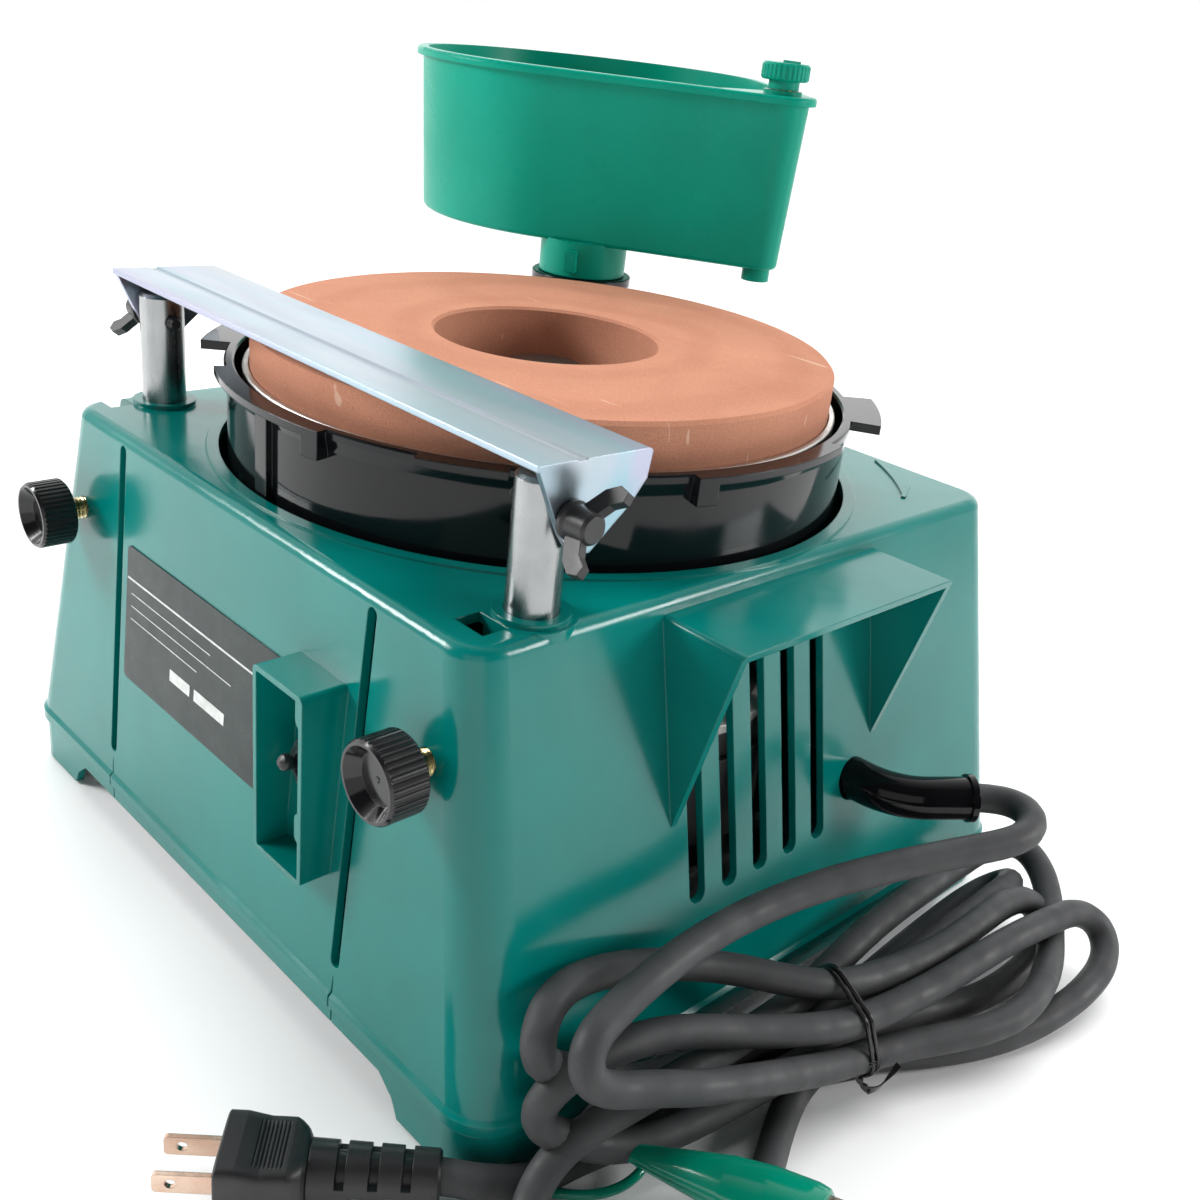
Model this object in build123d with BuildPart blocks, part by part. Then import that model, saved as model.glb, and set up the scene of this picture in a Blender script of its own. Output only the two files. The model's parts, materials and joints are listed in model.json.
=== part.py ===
from build123d import *
from math import cos, pi, radians, sin, tan
import os

# Wet grinding sharpener with a horizontal stone: millimetres, +Z up, +X to the right along the
# switch side, +Y to the back. The origin is on the floor, under the axis of the stone.

os.makedirs("parts", exist_ok=True)

# ---------------------------------------------------------------- driving dimensions
stone_r, stone_hole_r, stone_thick = 102.5, 40.0, 20.0
stone_top = 200.3

base_half_x, base_half_y = 147.6, 133.7      # casing at its bead
top_half_x, top_half_y = 117.7, 123.3        # casing at its top
bead_z, casing_top = 24.4, 156.6
wall = 3.0
bead_swell = 1.3                             # how far the bead stands proud of the wall
corner_r = 15.0
foot_lift = 1.0                              # the moulded feet stop just above the floor
arch_top = 12.5                              # underside of the skirt between its feet
opening_r = 113.0                            # hole in the casing's top, for the bowl

bowl_r, bowl_wall, bowl_rim_z, bowl_floor_z = 110.0, 2.5, 187.0, 130.0
chimney_r, chimney_top = 30.0, 168.0         # collar in the bowl round the spindle

post_x, post_y, post_r, post_top = 105.6, -93.0, 7.75, 197.6
pivot_z = 188.2                              # axis of the wing bolts
knob_z = 120.5                               # axis of the clamp knobs
stud_r = 4.0

pillar_x, pillar_y = -97.0, 106.0            # axis on which the tank swivels
tank_floor_z, tank_rim_z, tank_wall = 211.0, 282.0, 2.4
body_x, body_y, body_r = -146.0, 148.0, 77.0         # wide end of the tank, at its floor
tip_x, tip_y, tip_r = -27.0, 144.0, 8.5              # narrow end of the tank, at its floor
tank_draft = 3.5                                     # how much wider the tank is at its rim

spindle_r = 7.5
motor_x, motor_y, motor_r = 78.0, -12.0, 44.0
chassis_z = 44.0                             # underside of the steel plate that holds the drive
pulley_z = 28.0
big_pulley_r, small_pulley_r = 55.0, 18.0
running = 0.05                               # radial clearance of a running fit
gap = 0.3                                    # clearance between parts that pass each other

guard_x, guard_z = 54.7, 94.0                # centre of the switch guard
guard_wide, guard_high, guard_y = 26.6, 64.0, -141.0
vent_y, vent_pitch, vent_count, vent_wide = -43.2, 15.1, 5, 7.0
vent_low, vent_high = 58.3, 141.0

foot_x, foot_y, foot_r, foot_hole_r = 126.0, 112.0, 11.0, 2.6

cord_r = 5.0
earth_r = 1.5


# ---------------------------------------------------------------- helpers
def save(piece, name):
    """Labels a finished piece and writes its STEP file."""
    piece.part.label = name
    export_step(piece.part, f"parts/{name}.step")


def side_x(z):
    """Outside of the casing's right wall at height z."""
    slope = (base_half_x - top_half_x) / (casing_top - bead_z)
    return base_half_x - slope * (z - bead_z)


def front_y(z):
    """Outside of the casing's front wall at height z."""
    slope = (base_half_y - top_half_y) / (casing_top - bead_z)
    return -(base_half_y - slope * (z - bead_z))


def ring_sector(inner, outer, start, end):
    """One sector of a flat ring centred on the origin."""
    with BuildSketch() as sector:
        with BuildLine():
            outer_arc = CenterArc((0, 0), outer, start, end - start)
            inner_arc = CenterArc((0, 0), inner, start, end - start)
            Line(outer_arc @ 0, inner_arc @ 0)
            Line(outer_arc @ 1, inner_arc @ 1)
        make_face()
    return sector.sketch


def drop_outline(wide_r, narrow_r):
    """The tank's plan: a large and a small circle joined by tangents."""
    with BuildSketch() as drop:
        with BuildLine():
            CenterArc((body_x, body_y), wide_r, 0, 360)
            CenterArc((tip_x, tip_y), narrow_r, 0, 360)
        make_hull()
    return drop.sketch


def turned(points, mode=Mode.ADD, plane=Plane.XZ):
    """Turns a closed outline of (radius, distance) points about the plane's own upright axis."""
    with BuildSketch(plane) as outline:
        with BuildLine():
            Polyline(*points, close=True)
        make_face()
    revolve(outline.sketch, axis=Axis(plane.origin, plane.y_dir), mode=mode)


def upright(x, y):
    """Plane for turning about the vertical axis through (x, y)."""
    return Plane(origin=(x, y, 0), x_dir=(1, 0, 0), z_dir=(0, -1, 0))


def lying(x, y, z, direction):
    """Plane for turning about a horizontal axis; its distances run along the direction."""
    forward = Vector(*direction)
    return Plane(origin=(x, y, z), x_dir=(0, 0, 1), z_dir=Vector(0, 0, 1).cross(forward))


def column(x, y, low, high, radius, mode=Mode.ADD):
    """Adds or cuts an upright cylinder between two heights."""
    with Locations((x, y, low)):
        Cylinder(radius, high - low, align=(Align.CENTER, Align.CENTER, Align.MIN), mode=mode)


def block(low, high, mode=Mode.ADD):
    """Adds or cuts a box given by its lowest and highest corners."""
    size = [b - a for a, b in zip(low, high)]
    with Locations(low):
        Box(*size, align=(Align.MIN, Align.MIN, Align.MIN), mode=mode)


def thread_outline(core, crest, start, pitch, count):
    """The zigzag of (radius, distance) points of a thread drawn as plain rings."""
    points = []
    for i in range(count):
        points += [(core, start + i * pitch), (crest, start + (i + 0.5) * pitch)]
    return points + [(core, start + count * pitch)]


# ---------------------------------------------------------------- casing
hood_x, hood_top, hood_low = 150.0, 151.8, 87.0
hood_front, hood_back, hood_wall = -54.0, 50.0, 2.6
post_guide_r, post_collar_r, pillar_guide_r = 13.0, 11.2, 20.0
score_x, score_low, score_high = 75.2, 33.6, 153.1       # long grooves down the front
sleeve_y, sleeve_z, sleeve_root_r = 37.0, 73.5, 7.5
column_spots = [(sx * 137.0, sy * 62.0) for sx in (-1, 1) for sy in (-1, 1)]

with BuildPart() as casing:
    # Hood over the vents and guard round the switch, both hollow, trimmed by the walls below.
    with BuildSketch(Plane.XZ.offset(-hood_back)):
        with BuildLine():
            Polyline((110, hood_top), (hood_x, hood_top), (side_x(hood_low), hood_low),
                     (120, hood_low), close=True)
        make_face()
    extrude(amount=hood_back - hood_front)
    fillet(casing.edges().filter_by(Axis.X).group_by(Axis.Z)[-1], 2.0)
    with BuildSketch(Plane.XZ.offset(-(hood_back - hood_wall))):
        with BuildLine():
            Polyline((100, hood_top - hood_wall), (hood_x + 5, hood_top - hood_wall), (hood_x + 5, 80),
                     (100, 80), close=True)
        make_face()
    extrude(amount=hood_back - hood_front - 2 * hood_wall, mode=Mode.SUBTRACT)
    with BuildSketch(Plane.XZ.offset(-guard_y)):
        with Locations((guard_x, guard_z)):
            RectangleRounded(guard_wide, guard_high, 2.0)
            RectangleRounded(guard_wide - 3.6, guard_high - 3.6, 1.0, mode=Mode.SUBTRACT)
    extrude(amount=-24)
    for boss_z in (guard_z + 26.0, guard_z - 13.0):
        with BuildSketch(Plane.XZ.offset(-guard_y - 1.0)):
            with Locations((guard_x + guard_wide / 2 - 2.6, boss_z)):
                SlotOverall(10.5, 5.0, rotation=90)
        extrude(amount=-20)
    # Drafted shell with a rolled bead above a straight skirt.
    with BuildSketch(Plane.XY.offset(bead_z)):
        RectangleRounded(2 * base_half_x, 2 * base_half_y, corner_r)
    with BuildSketch(Plane.XY.offset(casing_top)):
        RectangleRounded(2 * top_half_x, 2 * top_half_y, corner_r - 3)
    loft(ruled=True)
    top_rim = casing.faces().filter_by(Plane.XY).sort_by(Axis.Z)[-1].edges()
    fillet(top_rim, 4.0)
    with BuildSketch(Plane.XY.offset(foot_lift)):
        RectangleRounded(2 * base_half_x, 2 * base_half_y, corner_r)
    extrude(amount=bead_z - foot_lift)
    bead_outline = [(6.6, 0.0), (5.2, bead_swell), (1.4, bead_swell), (0.0, 0.0)]
    for lower, upper in zip(bead_outline, bead_outline[1:]):
        for depth, swell in (lower, upper):
            with BuildSketch(Plane.XY.offset(bead_z - depth)):
                RectangleRounded(2 * (base_half_x + swell), 2 * (base_half_y + swell), corner_r + swell)
        loft(ruled=True)
    # Bulges outside the walls round both posts and under the tank's pillar.
    for side in (-1, 1):
        column(side * post_x, post_y, 100, casing_top, post_guide_r)
        column(side * post_x, post_y, casing_top - 1, casing_top + 1.6, post_collar_r)
    column(pillar_x, pillar_y, 112, casing_top + 1.5, pillar_guide_r + wall)
    with BuildSketch(Plane.XY.offset(casing_top - 1)):
        Circle(opening_r + 4.2)
    extrude(amount=1.7)
    # Raised arrow on the top, showing which way the stone turns.
    with BuildSketch(Plane.XY.offset(casing_top - 0.5)):
        add(ring_sector(135.2, 136.8, 42, 59))
        with Locations(Location((100.6, 91.2), 118)):
            with Locations((5.5, 0)):
                Rectangle(15, 1.6)
    extrude(amount=1.1)
    # Hollow inside.
    inside_top = casing_top - wall
    with BuildSketch(Plane.XY.offset(bead_z)):
        RectangleRounded(2 * (base_half_x - wall), 2 * (base_half_y - wall), corner_r - wall)
    with BuildSketch(Plane.XY.offset(inside_top)):
        RectangleRounded(2 * (side_x(inside_top) - wall), -2 * (front_y(inside_top) + wall), 10)
    loft(ruled=True, mode=Mode.SUBTRACT)
    with BuildSketch(Plane.XY.offset(-1)):
        RectangleRounded(2 * (base_half_x - wall), 2 * (base_half_y - wall), corner_r - wall)
    extrude(amount=bead_z + 1, mode=Mode.SUBTRACT)
    # Guides for the posts and clamp screws, the pillar's boss and the columns for the base plate.
    for side in (-1, 1):
        column(side * post_x, post_y, 100, casing_top, post_guide_r)
        with BuildSketch(Plane.XZ.offset(-front_y(knob_z) - 1.0)):
            with Locations((side * post_x, knob_z)):
                Circle(7.0)
        extrude(amount=front_y(knob_z) + 1.0 - post_y)
    column(pillar_x, pillar_y, 112, casing_top + 1.5, pillar_guide_r)
    for x, y in column_spots:
        column(x, y, 15.5, 38, 5.5)
    # Openings.
    column(0, 0, casing_top - 12, casing_top + 3, opening_r, Mode.SUBTRACT)
    for side, pocket_x in ((-1, -112.8), (1, 103.7)):
        block((pocket_x - 6, -113.2, casing_top - 9), (pocket_x + 6, -104.6, casing_top + 1), Mode.SUBTRACT)
        column(side * post_x, post_y, 90, casing_top + 3, post_r + running, Mode.SUBTRACT)
        with BuildSketch(Plane.XZ.offset(140)):
            with Locations((side * post_x, knob_z)):
                Circle(stud_r + running)
        extrude(amount=-(140 + post_y), mode=Mode.SUBTRACT)
        with BuildSketch(Plane.XZ.offset(110)):
            with Locations((side * score_x, (score_low + score_high) / 2)):
                SlotOverall(score_high - score_low, 4.4, rotation=90)
        extrude(amount=30, mode=Mode.SUBTRACT)
        block((side * score_x - 0.3, -base_half_y - 2, foot_lift),
              (side * score_x + 0.3, -base_half_y + 0.5, score_low - 0.6), Mode.SUBTRACT)
    column(pillar_x, pillar_y, 100, 150, 14.0, Mode.SUBTRACT)
    column(pillar_x, pillar_y, 149, 159, 3.1, Mode.SUBTRACT)
    with BuildSketch(Plane.YZ.offset(110)):
        for i in range(vent_count):
            with Locations((vent_y + i * vent_pitch, (vent_low + vent_high) / 2)):
                SlotOverall(vent_high - vent_low, vent_wide, rotation=90)
    extrude(amount=45, mode=Mode.SUBTRACT)
    with BuildSketch(Plane.YZ.offset(120)):
        with Locations((sleeve_y, sleeve_z)):
            Circle(sleeve_root_r)
    extrude(amount=30, mode=Mode.SUBTRACT)
    with BuildSketch(Plane.XZ.offset(118)):
        with Locations((guard_x, guard_z)):
            Circle(6.1)
    extrude(amount=12, mode=Mode.SUBTRACT)
    for x, y in column_spots:
        column(x, y, 10, 36, 1.6, Mode.SUBTRACT)
    # Arches between the moulded feet, on all four sides.
    for plane, half, reach in ((Plane.XZ, 112.0, base_half_y), (Plane.YZ, 98.0, base_half_x)):
        with BuildSketch(plane.offset(-reach - 5)):
            with BuildLine():
                Polyline((-half, -1), (-half + 4, 7), (-half + 11, arch_top), (half - 11, arch_top),
                         (half - 4, 7), (half, -1), close=True)
            make_face()
        extrude(amount=2 * reach + 10, mode=Mode.SUBTRACT)
save(casing, "casing")


# ---------------------------------------------------------------- base
plate_low, plate_high = 13.0, 15.5
foot_spots = [(sx * foot_x, sy * foot_y) for sx in (-1, 1) for sy in (-1, 1)]
standoff_spots = [(-52.0, -52.0), (-52.0, 52.0), (120.0, -54.0), (120.0, 54.0)]
motor_screw_spots = [(motor_x + dx, motor_y + dy) for dx in (-33.0, 33.0) for dy in (-33.0, 33.0)]

with BuildPart() as base_plate:
    with BuildSketch(Plane.XY.offset(plate_low)):
        RectangleRounded(2 * (base_half_x - wall - gap), 2 * (base_half_y - wall - gap), corner_r - wall)
        with Locations(*foot_spots):
            Circle(foot_hole_r, mode=Mode.SUBTRACT)
        with Locations(*column_spots, *standoff_spots):
            Circle(1.8, mode=Mode.SUBTRACT)
        with GridLocations(14, 0, 7, 1):
            SlotOverall(60, 6, rotation=90, mode=Mode.SUBTRACT)
    extrude(amount=plate_high - plate_low)
save(base_plate, "base_plate")

with BuildPart() as rubber_feet:
    for x, y in foot_spots:
        turned([(foot_hole_r, 0), (foot_r - 1.5, 0), (foot_r - 0.5, 1.2), (foot_r - 1.5, plate_low),
                (foot_hole_r, plate_low)], plane=upright(x, y))
save(rubber_feet, "rubber_feet")

with BuildPart() as base_screws:
    for x, y in column_spots + standoff_spots:
        turned([(0, plate_low - 1.4), (1.5, plate_low - 1.4), (1.5, plate_low - 2.4),
                (3.4, plate_low - 2.4), (4.0, plate_low - 0.8), (4.0, plate_low), (1.5, plate_low),
                (1.5, 30), (0.6, 31.5), (0, 31.5)], plane=upright(x, y))
save(base_screws, "base_screws")

with BuildPart() as standoffs:
    for x, y in standoff_spots:
        turned([(1.6, plate_high), (6, plate_high), (6, chassis_z), (1.6, chassis_z)], plane=upright(x, y))
save(standoffs, "standoffs")

# ---------------------------------------------------------------- drive
chassis_top = chassis_z + 2.5
housing_top = 118.0
bearing_spots = [(50.0, 59.0), (106.0, 115.0)]
bearing_r = 16.0
bolt_circle, bowl_screw_circle = 28.5, 20.0

with BuildPart() as chassis_plate:
    with BuildSketch(Plane.XY.offset(chassis_z)):
        with Locations((34, 0)):
            RectangleRounded(188, 120, 8)
        Circle(20, mode=Mode.SUBTRACT)
        with Locations((motor_x, motor_y)):
            Circle(18, mode=Mode.SUBTRACT)
        with Locations(*standoff_spots):
            Circle(1.6, mode=Mode.SUBTRACT)
        with Locations(*motor_screw_spots):
            Circle(2.1, mode=Mode.SUBTRACT)
        with PolarLocations(bolt_circle, 3, 60):
            Circle(2.1, mode=Mode.SUBTRACT)
    extrude(amount=chassis_top - chassis_z)
save(chassis_plate, "chassis_plate")

with BuildPart() as bearing_housing:
    turned([(13, chassis_top), (33, chassis_top), (33, 52.5), (24, 52.5), (22, housing_top - 6),
            (24, housing_top - 4), (24, housing_top), (bearing_r, housing_top), (bearing_r, 106), (14, 106),
            (14, 59), (bearing_r, 59), (bearing_r, 50), (13, 50)])
    with BuildSketch(Plane.XY.offset(52)):
        for turn in range(6):
            with Locations(Rotation(0, 0, 30 + 60 * turn)):
                with Locations((27.5, 0)):
                    Rectangle(11, 4)
    extrude(amount=22, taper=8)
    with PolarLocations(bolt_circle, 3, 60):
        Cylinder(2.1, 120, align=(Align.CENTER, Align.CENTER, Align.MIN), mode=Mode.SUBTRACT)
    with PolarLocations(bowl_screw_circle, 3, 0):
        with Locations((0, 0, housing_top - 9)):
            Cylinder(1.6, 10, align=(Align.CENTER, Align.CENTER, Align.MIN), mode=Mode.SUBTRACT)
save(bearing_housing, "bearing_housing")

with BuildPart() as housing_bolts:
    for turn in (60, 180, 300):
        x, y = bolt_circle * cos(radians(turn)), bolt_circle * sin(radians(turn))
        turned([(0, chassis_z - 3.6), (3.6, chassis_z - 3.6), (3.6, chassis_z), (2, chassis_z), (2, 52.5),
                (3.5, 52.5), (3.5, 56.5), (2.2, 56.5), (2.2, 57.5), (0, 57.5)], plane=upright(x, y))
save(housing_bolts, "housing_bolts")

for name, (low, high) in zip(("lower_bearing", "upper_bearing"), bearing_spots):
    with BuildPart() as bearing:
        middle = (low + high) / 2
        turned([(spindle_r + running, low), (9.6, low), (10.0, low + 0.6), (13.6, low + 0.6), (14.0, low),
                (bearing_r, low), (bearing_r, high), (14.0, high), (13.6, high - 0.6), (10.0, high - 0.6),
                (9.6, high), (spindle_r + running, high), (spindle_r + running, middle)])
    save(bearing, name)

with BuildPart() as spindle:
    turned([(0, 21), (6.3, 21), (spindle_r, 22.2), (spindle_r, 179), (spindle_r - 1.0, 180)]
           + thread_outline(5.7, 6.5, 180.3, 1.5, 4) + [(4.9, 187.0), (0, 187.0)])
save(spindle, "spindle")

with BuildPart() as big_pulley:
    low, high = pulley_z - 4, pulley_z + 10
    turned([(spindle_r, low), (15, low), (15, low + 4), (44, low + 4), (46, low), (big_pulley_r + 1.5, low),
            (big_pulley_r + 1.5, low + 1.5), (big_pulley_r - 1, low + 2.5), (big_pulley_r - 1, high - 2.5),
            (big_pulley_r + 1.5, high - 1.5), (big_pulley_r + 1.5, high), (46, high), (44, high - 4),
            (15, high - 4), (15, high), (spindle_r, high)])
    with BuildSketch(Plane.XY.offset(low)):
        with PolarLocations(30, 6):
            Circle(8)
    extrude(amount=high - low, mode=Mode.SUBTRACT)
save(big_pulley, "big_pulley")

with BuildPart() as small_pulley:
    turned([(6, low), (small_pulley_r + 1.5, low), (small_pulley_r + 1.5, low + 1.5),
            (small_pulley_r - 1, low + 2.5), (small_pulley_r - 1, high - 2.5),
            (small_pulley_r + 1.5, high - 1.5), (small_pulley_r + 1.5, high), (6, high)],
           plane=upright(motor_x, motor_y))
save(small_pulley, "small_pulley")

# The belt runs just clear of both pulleys, between their flanges.
with BuildPart() as drive_belt:
    with BuildSketch(Plane.XY.offset(low + 2.9)):
        for swell, mode in ((1.9, Mode.ADD), (gap, Mode.SUBTRACT)):
            with BuildSketch(mode=Mode.PRIVATE) as loop:
                with BuildLine():
                    CenterArc((0, 0), big_pulley_r - 1 + swell, 0, 360)
                    CenterArc((motor_x, motor_y), small_pulley_r - 1 + swell, 0, 360)
                make_hull()
            add(loop.sketch, mode=mode)
    extrude(amount=high - low - 5.8)
save(drive_belt, "drive_belt")

with BuildPart() as motor_housing:
    with BuildSketch(Plane.XY.offset(chassis_top)):
        with Locations((motor_x, motor_y)):
            RectangleRounded(80, 80, 12)
    extrude(amount=4)
    turned([(26.6, 50), (motor_r - 2, 50), (motor_r - 2, 60), (motor_r, 60.6), (motor_r, 92),
            (motor_r - 2, 92.6), (motor_r - 2, 101), (40, 101), (40, 92), (26.6, 92)],
           plane=upright(motor_x, motor_y))
    with Locations((motor_x, motor_y, chassis_z)):
        Cylinder(17.5, 7, align=(Align.CENTER, Align.CENTER, Align.MIN), mode=Mode.SUBTRACT)
    with Locations(*motor_screw_spots):
        Cylinder(2.1, 160, mode=Mode.SUBTRACT)
save(motor_housing, "motor_housing")

with BuildPart() as motor_end_cap:
    turned([(6 + running, 101), (motor_r - 2, 101), (motor_r - 2, 104), (motor_r - 6, 107), (14, 108.5),
            (12, 111), (6 + running, 111)], plane=upright(motor_x, motor_y))
    with BuildSketch(Plane.XY.offset(100)):
        with Locations((motor_x, motor_y)):
            with PolarLocations(26, 8):
                SlotOverall(16, 6)
    extrude(amount=12, mode=Mode.SUBTRACT)
save(motor_end_cap, "motor_end_cap")

with BuildPart() as motor_rotor:
    turned([(0, 22), (5, 22), (6, 23), (6, 52), (17, 54), (26, 54), (26, 88), (17, 88), (6, 90),
            (6, 113), (5, 114), (0, 114)], plane=upright(motor_x, motor_y))
save(motor_rotor, "motor_rotor")

with BuildPart() as motor_screws:
    for x, y in motor_screw_spots:
        turned([(0, chassis_z - 3), (3.5, chassis_z - 3), (3.5, chassis_z), (2, chassis_z),
                (2, 50.5), (3.5, 50.5), (3.5, 53.5), (0, 53.5)], plane=upright(x, y))
save(motor_screws, "motor_screws")

cap_x, cap_y, cap_r, cap_top = -20.0, 92.0, 17.0, 86.0
with BuildPart() as capacitor:
    turned([(0, plate_high), (cap_r - 1, plate_high), (cap_r, plate_high + 1), (cap_r, cap_top - 2),
            (cap_r - 2, cap_top), (0, cap_top)], plane=upright(cap_x, cap_y))
    for tab_x in (cap_x - 5, cap_x + 5):
        block((tab_x - 0.4, cap_y - 3, cap_top - 2), (tab_x + 0.4, cap_y + 3, cap_top + 7))
save(capacitor, "capacitor")

with BuildPart() as capacitor_clamp:
    with BuildSketch(Plane.XY.offset(40)):
        with Locations((cap_x, cap_y)):
            Circle(cap_r + 1.5)
            Circle(cap_r, mode=Mode.SUBTRACT)
            with Locations((0, cap_r + 5)):
                Rectangle(3, 10)
    extrude(amount=14)
    with BuildSketch(Plane.XY.offset(plate_high)):
        with Locations((cap_x, cap_y + cap_r + 10)):
            Rectangle(12, 3)
    extrude(amount=38.5)
    with BuildSketch(Plane.XY.offset(plate_high)):
        with Locations((cap_x, cap_y + cap_r + 15)):
            Rectangle(12, 13)
    extrude(amount=2)
save(capacitor_clamp, "capacitor_clamp")

# ---------------------------------------------------------------- bowl
bowl_seat = bowl_floor_z + bowl_wall
tab_reach, ledge_reach = 121.0, 114.5
with BuildPart() as bowl:
    lip_low = bowl_rim_z - 2.6
    inside_r = bowl_r - bowl_wall
    turned([(chimney_r, bowl_floor_z), (bowl_r - 6, bowl_floor_z), (bowl_r - 1.4, bowl_floor_z + 3),
            (bowl_r, bowl_floor_z + 8), (bowl_r, lip_low - 4), (bowl_r + 1, lip_low),
            (bowl_r + 1, bowl_rim_z - 0.6), (bowl_r + 0.4, bowl_rim_z), (inside_r + 0.6, bowl_rim_z),
            (inside_r, bowl_rim_z - 0.6), (inside_r, bowl_floor_z + 9), (inside_r - 2.4, bowl_seat + 2.4),
            (inside_r - 7, bowl_seat), (chimney_r, bowl_seat)])
    # Finger tabs and ledges on the rim: reach, first and last angle, thickness.
    rim_marks = [(tab_reach, -147, -130, 3.2), (tab_reach, 33, 50, 3.2), (ledge_reach, -114, -78, 2.6),
                 (ledge_reach, -16, 17, 2.6), (ledge_reach, 66, 102, 2.6), (ledge_reach, 164, 197, 2.6),
                 (ledge_reach, -60, -46, 2.6), (ledge_reach, 120, 134, 2.6)]
    for reach, start, end, deep in rim_marks:
        with BuildSketch(Plane.XY.offset(bowl_rim_z - deep)):
            add(ring_sector(bowl_r - 1, reach, start, end))
        extrude(amount=deep)
    for start in (-80, -17.5, 64, 162):
        with BuildSketch(Plane.XY.offset(bowl_rim_z - 9)):
            add(ring_sector(bowl_r - 1, ledge_reach, start, start + 3.5))
        extrude(amount=9)
    for start in (-93.8, 86.2):
        with BuildSketch(Plane.XY.offset(casing_top - 20)):
            add(ring_sector(bowl_r - 1, bowl_r + 2.2, start, start + 3.6))
        extrude(amount=bowl_rim_z - casing_top + 18)
save(bowl, "bowl")

# Collar that carries the bowl on the bearing housing and keeps its water off the spindle.
with BuildPart() as bowl_collar:
    turned([(17, housing_top), (24, housing_top), (24, bowl_floor_z - 5), (35, bowl_floor_z - 2),
            (36, bowl_floor_z), (chimney_r, bowl_floor_z), (chimney_r, bowl_seat),
            (chimney_r - 0.6, bowl_seat + 1), (chimney_r - 1.2, chimney_top - 0.6),
            (chimney_r - 1.8, chimney_top), (27.2, chimney_top), (26.8, chimney_top - 0.6),
            (26.8, bowl_seat), (17, bowl_seat)])
    with PolarLocations(bowl_screw_circle, 3, 0):
        with Locations((0, 0, housing_top - 1)):
            Cylinder(1.9, 40, align=(Align.CENTER, Align.CENTER, Align.MIN), mode=Mode.SUBTRACT)
save(bowl_collar, "bowl_collar")

with BuildPart() as bowl_screws:
    for turn in (0, 120, 240):
        x, y = bowl_screw_circle * cos(radians(turn)), bowl_screw_circle * sin(radians(turn))
        turned([(0, housing_top - 8), (1.6, housing_top - 7), (1.6, bowl_seat), (2.9, bowl_seat),
                (2.9, bowl_seat + 1.6), (1.6, bowl_seat + 2.4), (0, bowl_seat + 2.4)], plane=upright(x, y))
save(bowl_screws, "bowl_screws")

# ---------------------------------------------------------------- wheel
stone_low = stone_top - stone_thick
cup_r, cup_lip = 105.0, 185.5
disc_low = 177.0
with BuildPart() as wheel_hub:
    turned([(spindle_r, 146), (13, 146), (16, 148), (16, 171), (19, 174), (24, 175), (24, disc_low),
            (spindle_r, disc_low)])
save(wheel_hub, "wheel_hub")

with BuildPart() as wheel_disc:
    turned([(spindle_r, disc_low), (cup_r - 1, disc_low), (cup_r, disc_low + 1), (cup_r, cup_lip - 0.5),
            (cup_r - 0.5, cup_lip), (stone_r + 0.5, cup_lip), (stone_r + gap, cup_lip - 0.3),
            (stone_r + gap, stone_low), (spindle_r, stone_low)])
save(wheel_disc, "wheel_disc")

with BuildPart() as grindstone:
    turned([(stone_hole_r, stone_low), (stone_r, stone_low), (stone_r, stone_top - 1.2),
            (stone_r - 1.2, stone_top), (stone_hole_r + 1.0, stone_top), (stone_hole_r, stone_top - 1.0)])
save(grindstone, "grindstone")

nut_low = stone_low + 3.4                    # top of the washer, underside of the nut
with BuildPart() as clamp_washer:
    turned([(6.8, stone_low), (30, stone_low), (31, stone_low + 1), (29, stone_low + 2.6),
            (15, nut_low), (6.8, nut_low)])
save(clamp_washer, "clamp_washer")

with BuildPart() as wheel_nut:
    turned([(6.5, nut_low), (18, nut_low), (19, nut_low + 0.8), (19, nut_low + 2.4), (16, nut_low + 3.2),
            (15, nut_low + 4.8), (13.8, nut_low + 5.6), (0, nut_low + 5.6), (0, 187.4), (6.5, 187.4)])
    with BuildSketch(Plane.XY.offset(nut_low + 1.2)):
        with PolarLocations(17.6, 8):
            Circle(3.0)
    extrude(amount=12, mode=Mode.SUBTRACT)
save(wheel_nut, "wheel_nut")

# ---------------------------------------------------------------- tool rest
post_low = 78.0
pivot_r = 2.5                                # plain part of the wing bolts
with BuildPart() as rest_posts:
    for side in (-1, 1):
        turned([(0, post_low), (post_r - 1.2, post_low), (post_r, post_low + 1.2), (post_r, post_top - 1.2),
                (post_r - 1.2, post_top), (0, post_top)], plane=upright(side * post_x, post_y))
    with BuildSketch(Plane.YZ.offset(-130)):
        with Locations((post_y, pivot_z)):
            Circle(pivot_r + running)
    extrude(amount=260, mode=Mode.SUBTRACT)
save(rest_posts, "rest_posts")

plate_half, flange = 117.0, 2.0
with BuildPart() as rest_plate:
    with BuildSketch(Plane.YZ.offset(-plate_half)):
        with BuildLine():
            Polyline((-105.7, 202.6), (-105.7, 204.4), (-92.4, 204.2), (-91.8, 203.6), (-89.2, 203.6),
                     (-88.6, 204.1), (-66.2, 203.6), (-65.2, 203.1), (-64.6, 202.2), (-66.2, 201.8),
                     (-88.4, 202.3), (-88.8, 201.7), (-92.2, 201.7), (-92.6, 202.4), close=True)
        make_face()
    extrude(amount=2 * plate_half)
    for start in (-plate_half, plate_half - flange):
        with BuildSketch(Plane.YZ.offset(start)):
            with BuildLine():
                Polyline((-105.7, 204.3), (-99.6, 191.3), (-95.6, 183.4), (-91.4, 177.7), (-84.9, 177.0),
                         (-71.3, 188.3), (-65.9, 195.0), (-64.8, 202.4), (-66.2, 203.3), (-88.4, 203.6),
                         (-92.6, 203.7), close=True)
            make_face()
            with Locations((post_y, pivot_z)):
                Circle(pivot_r + running, mode=Mode.SUBTRACT)
        extrude(amount=flange)
save(rest_plate, "rest_plate")

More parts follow.
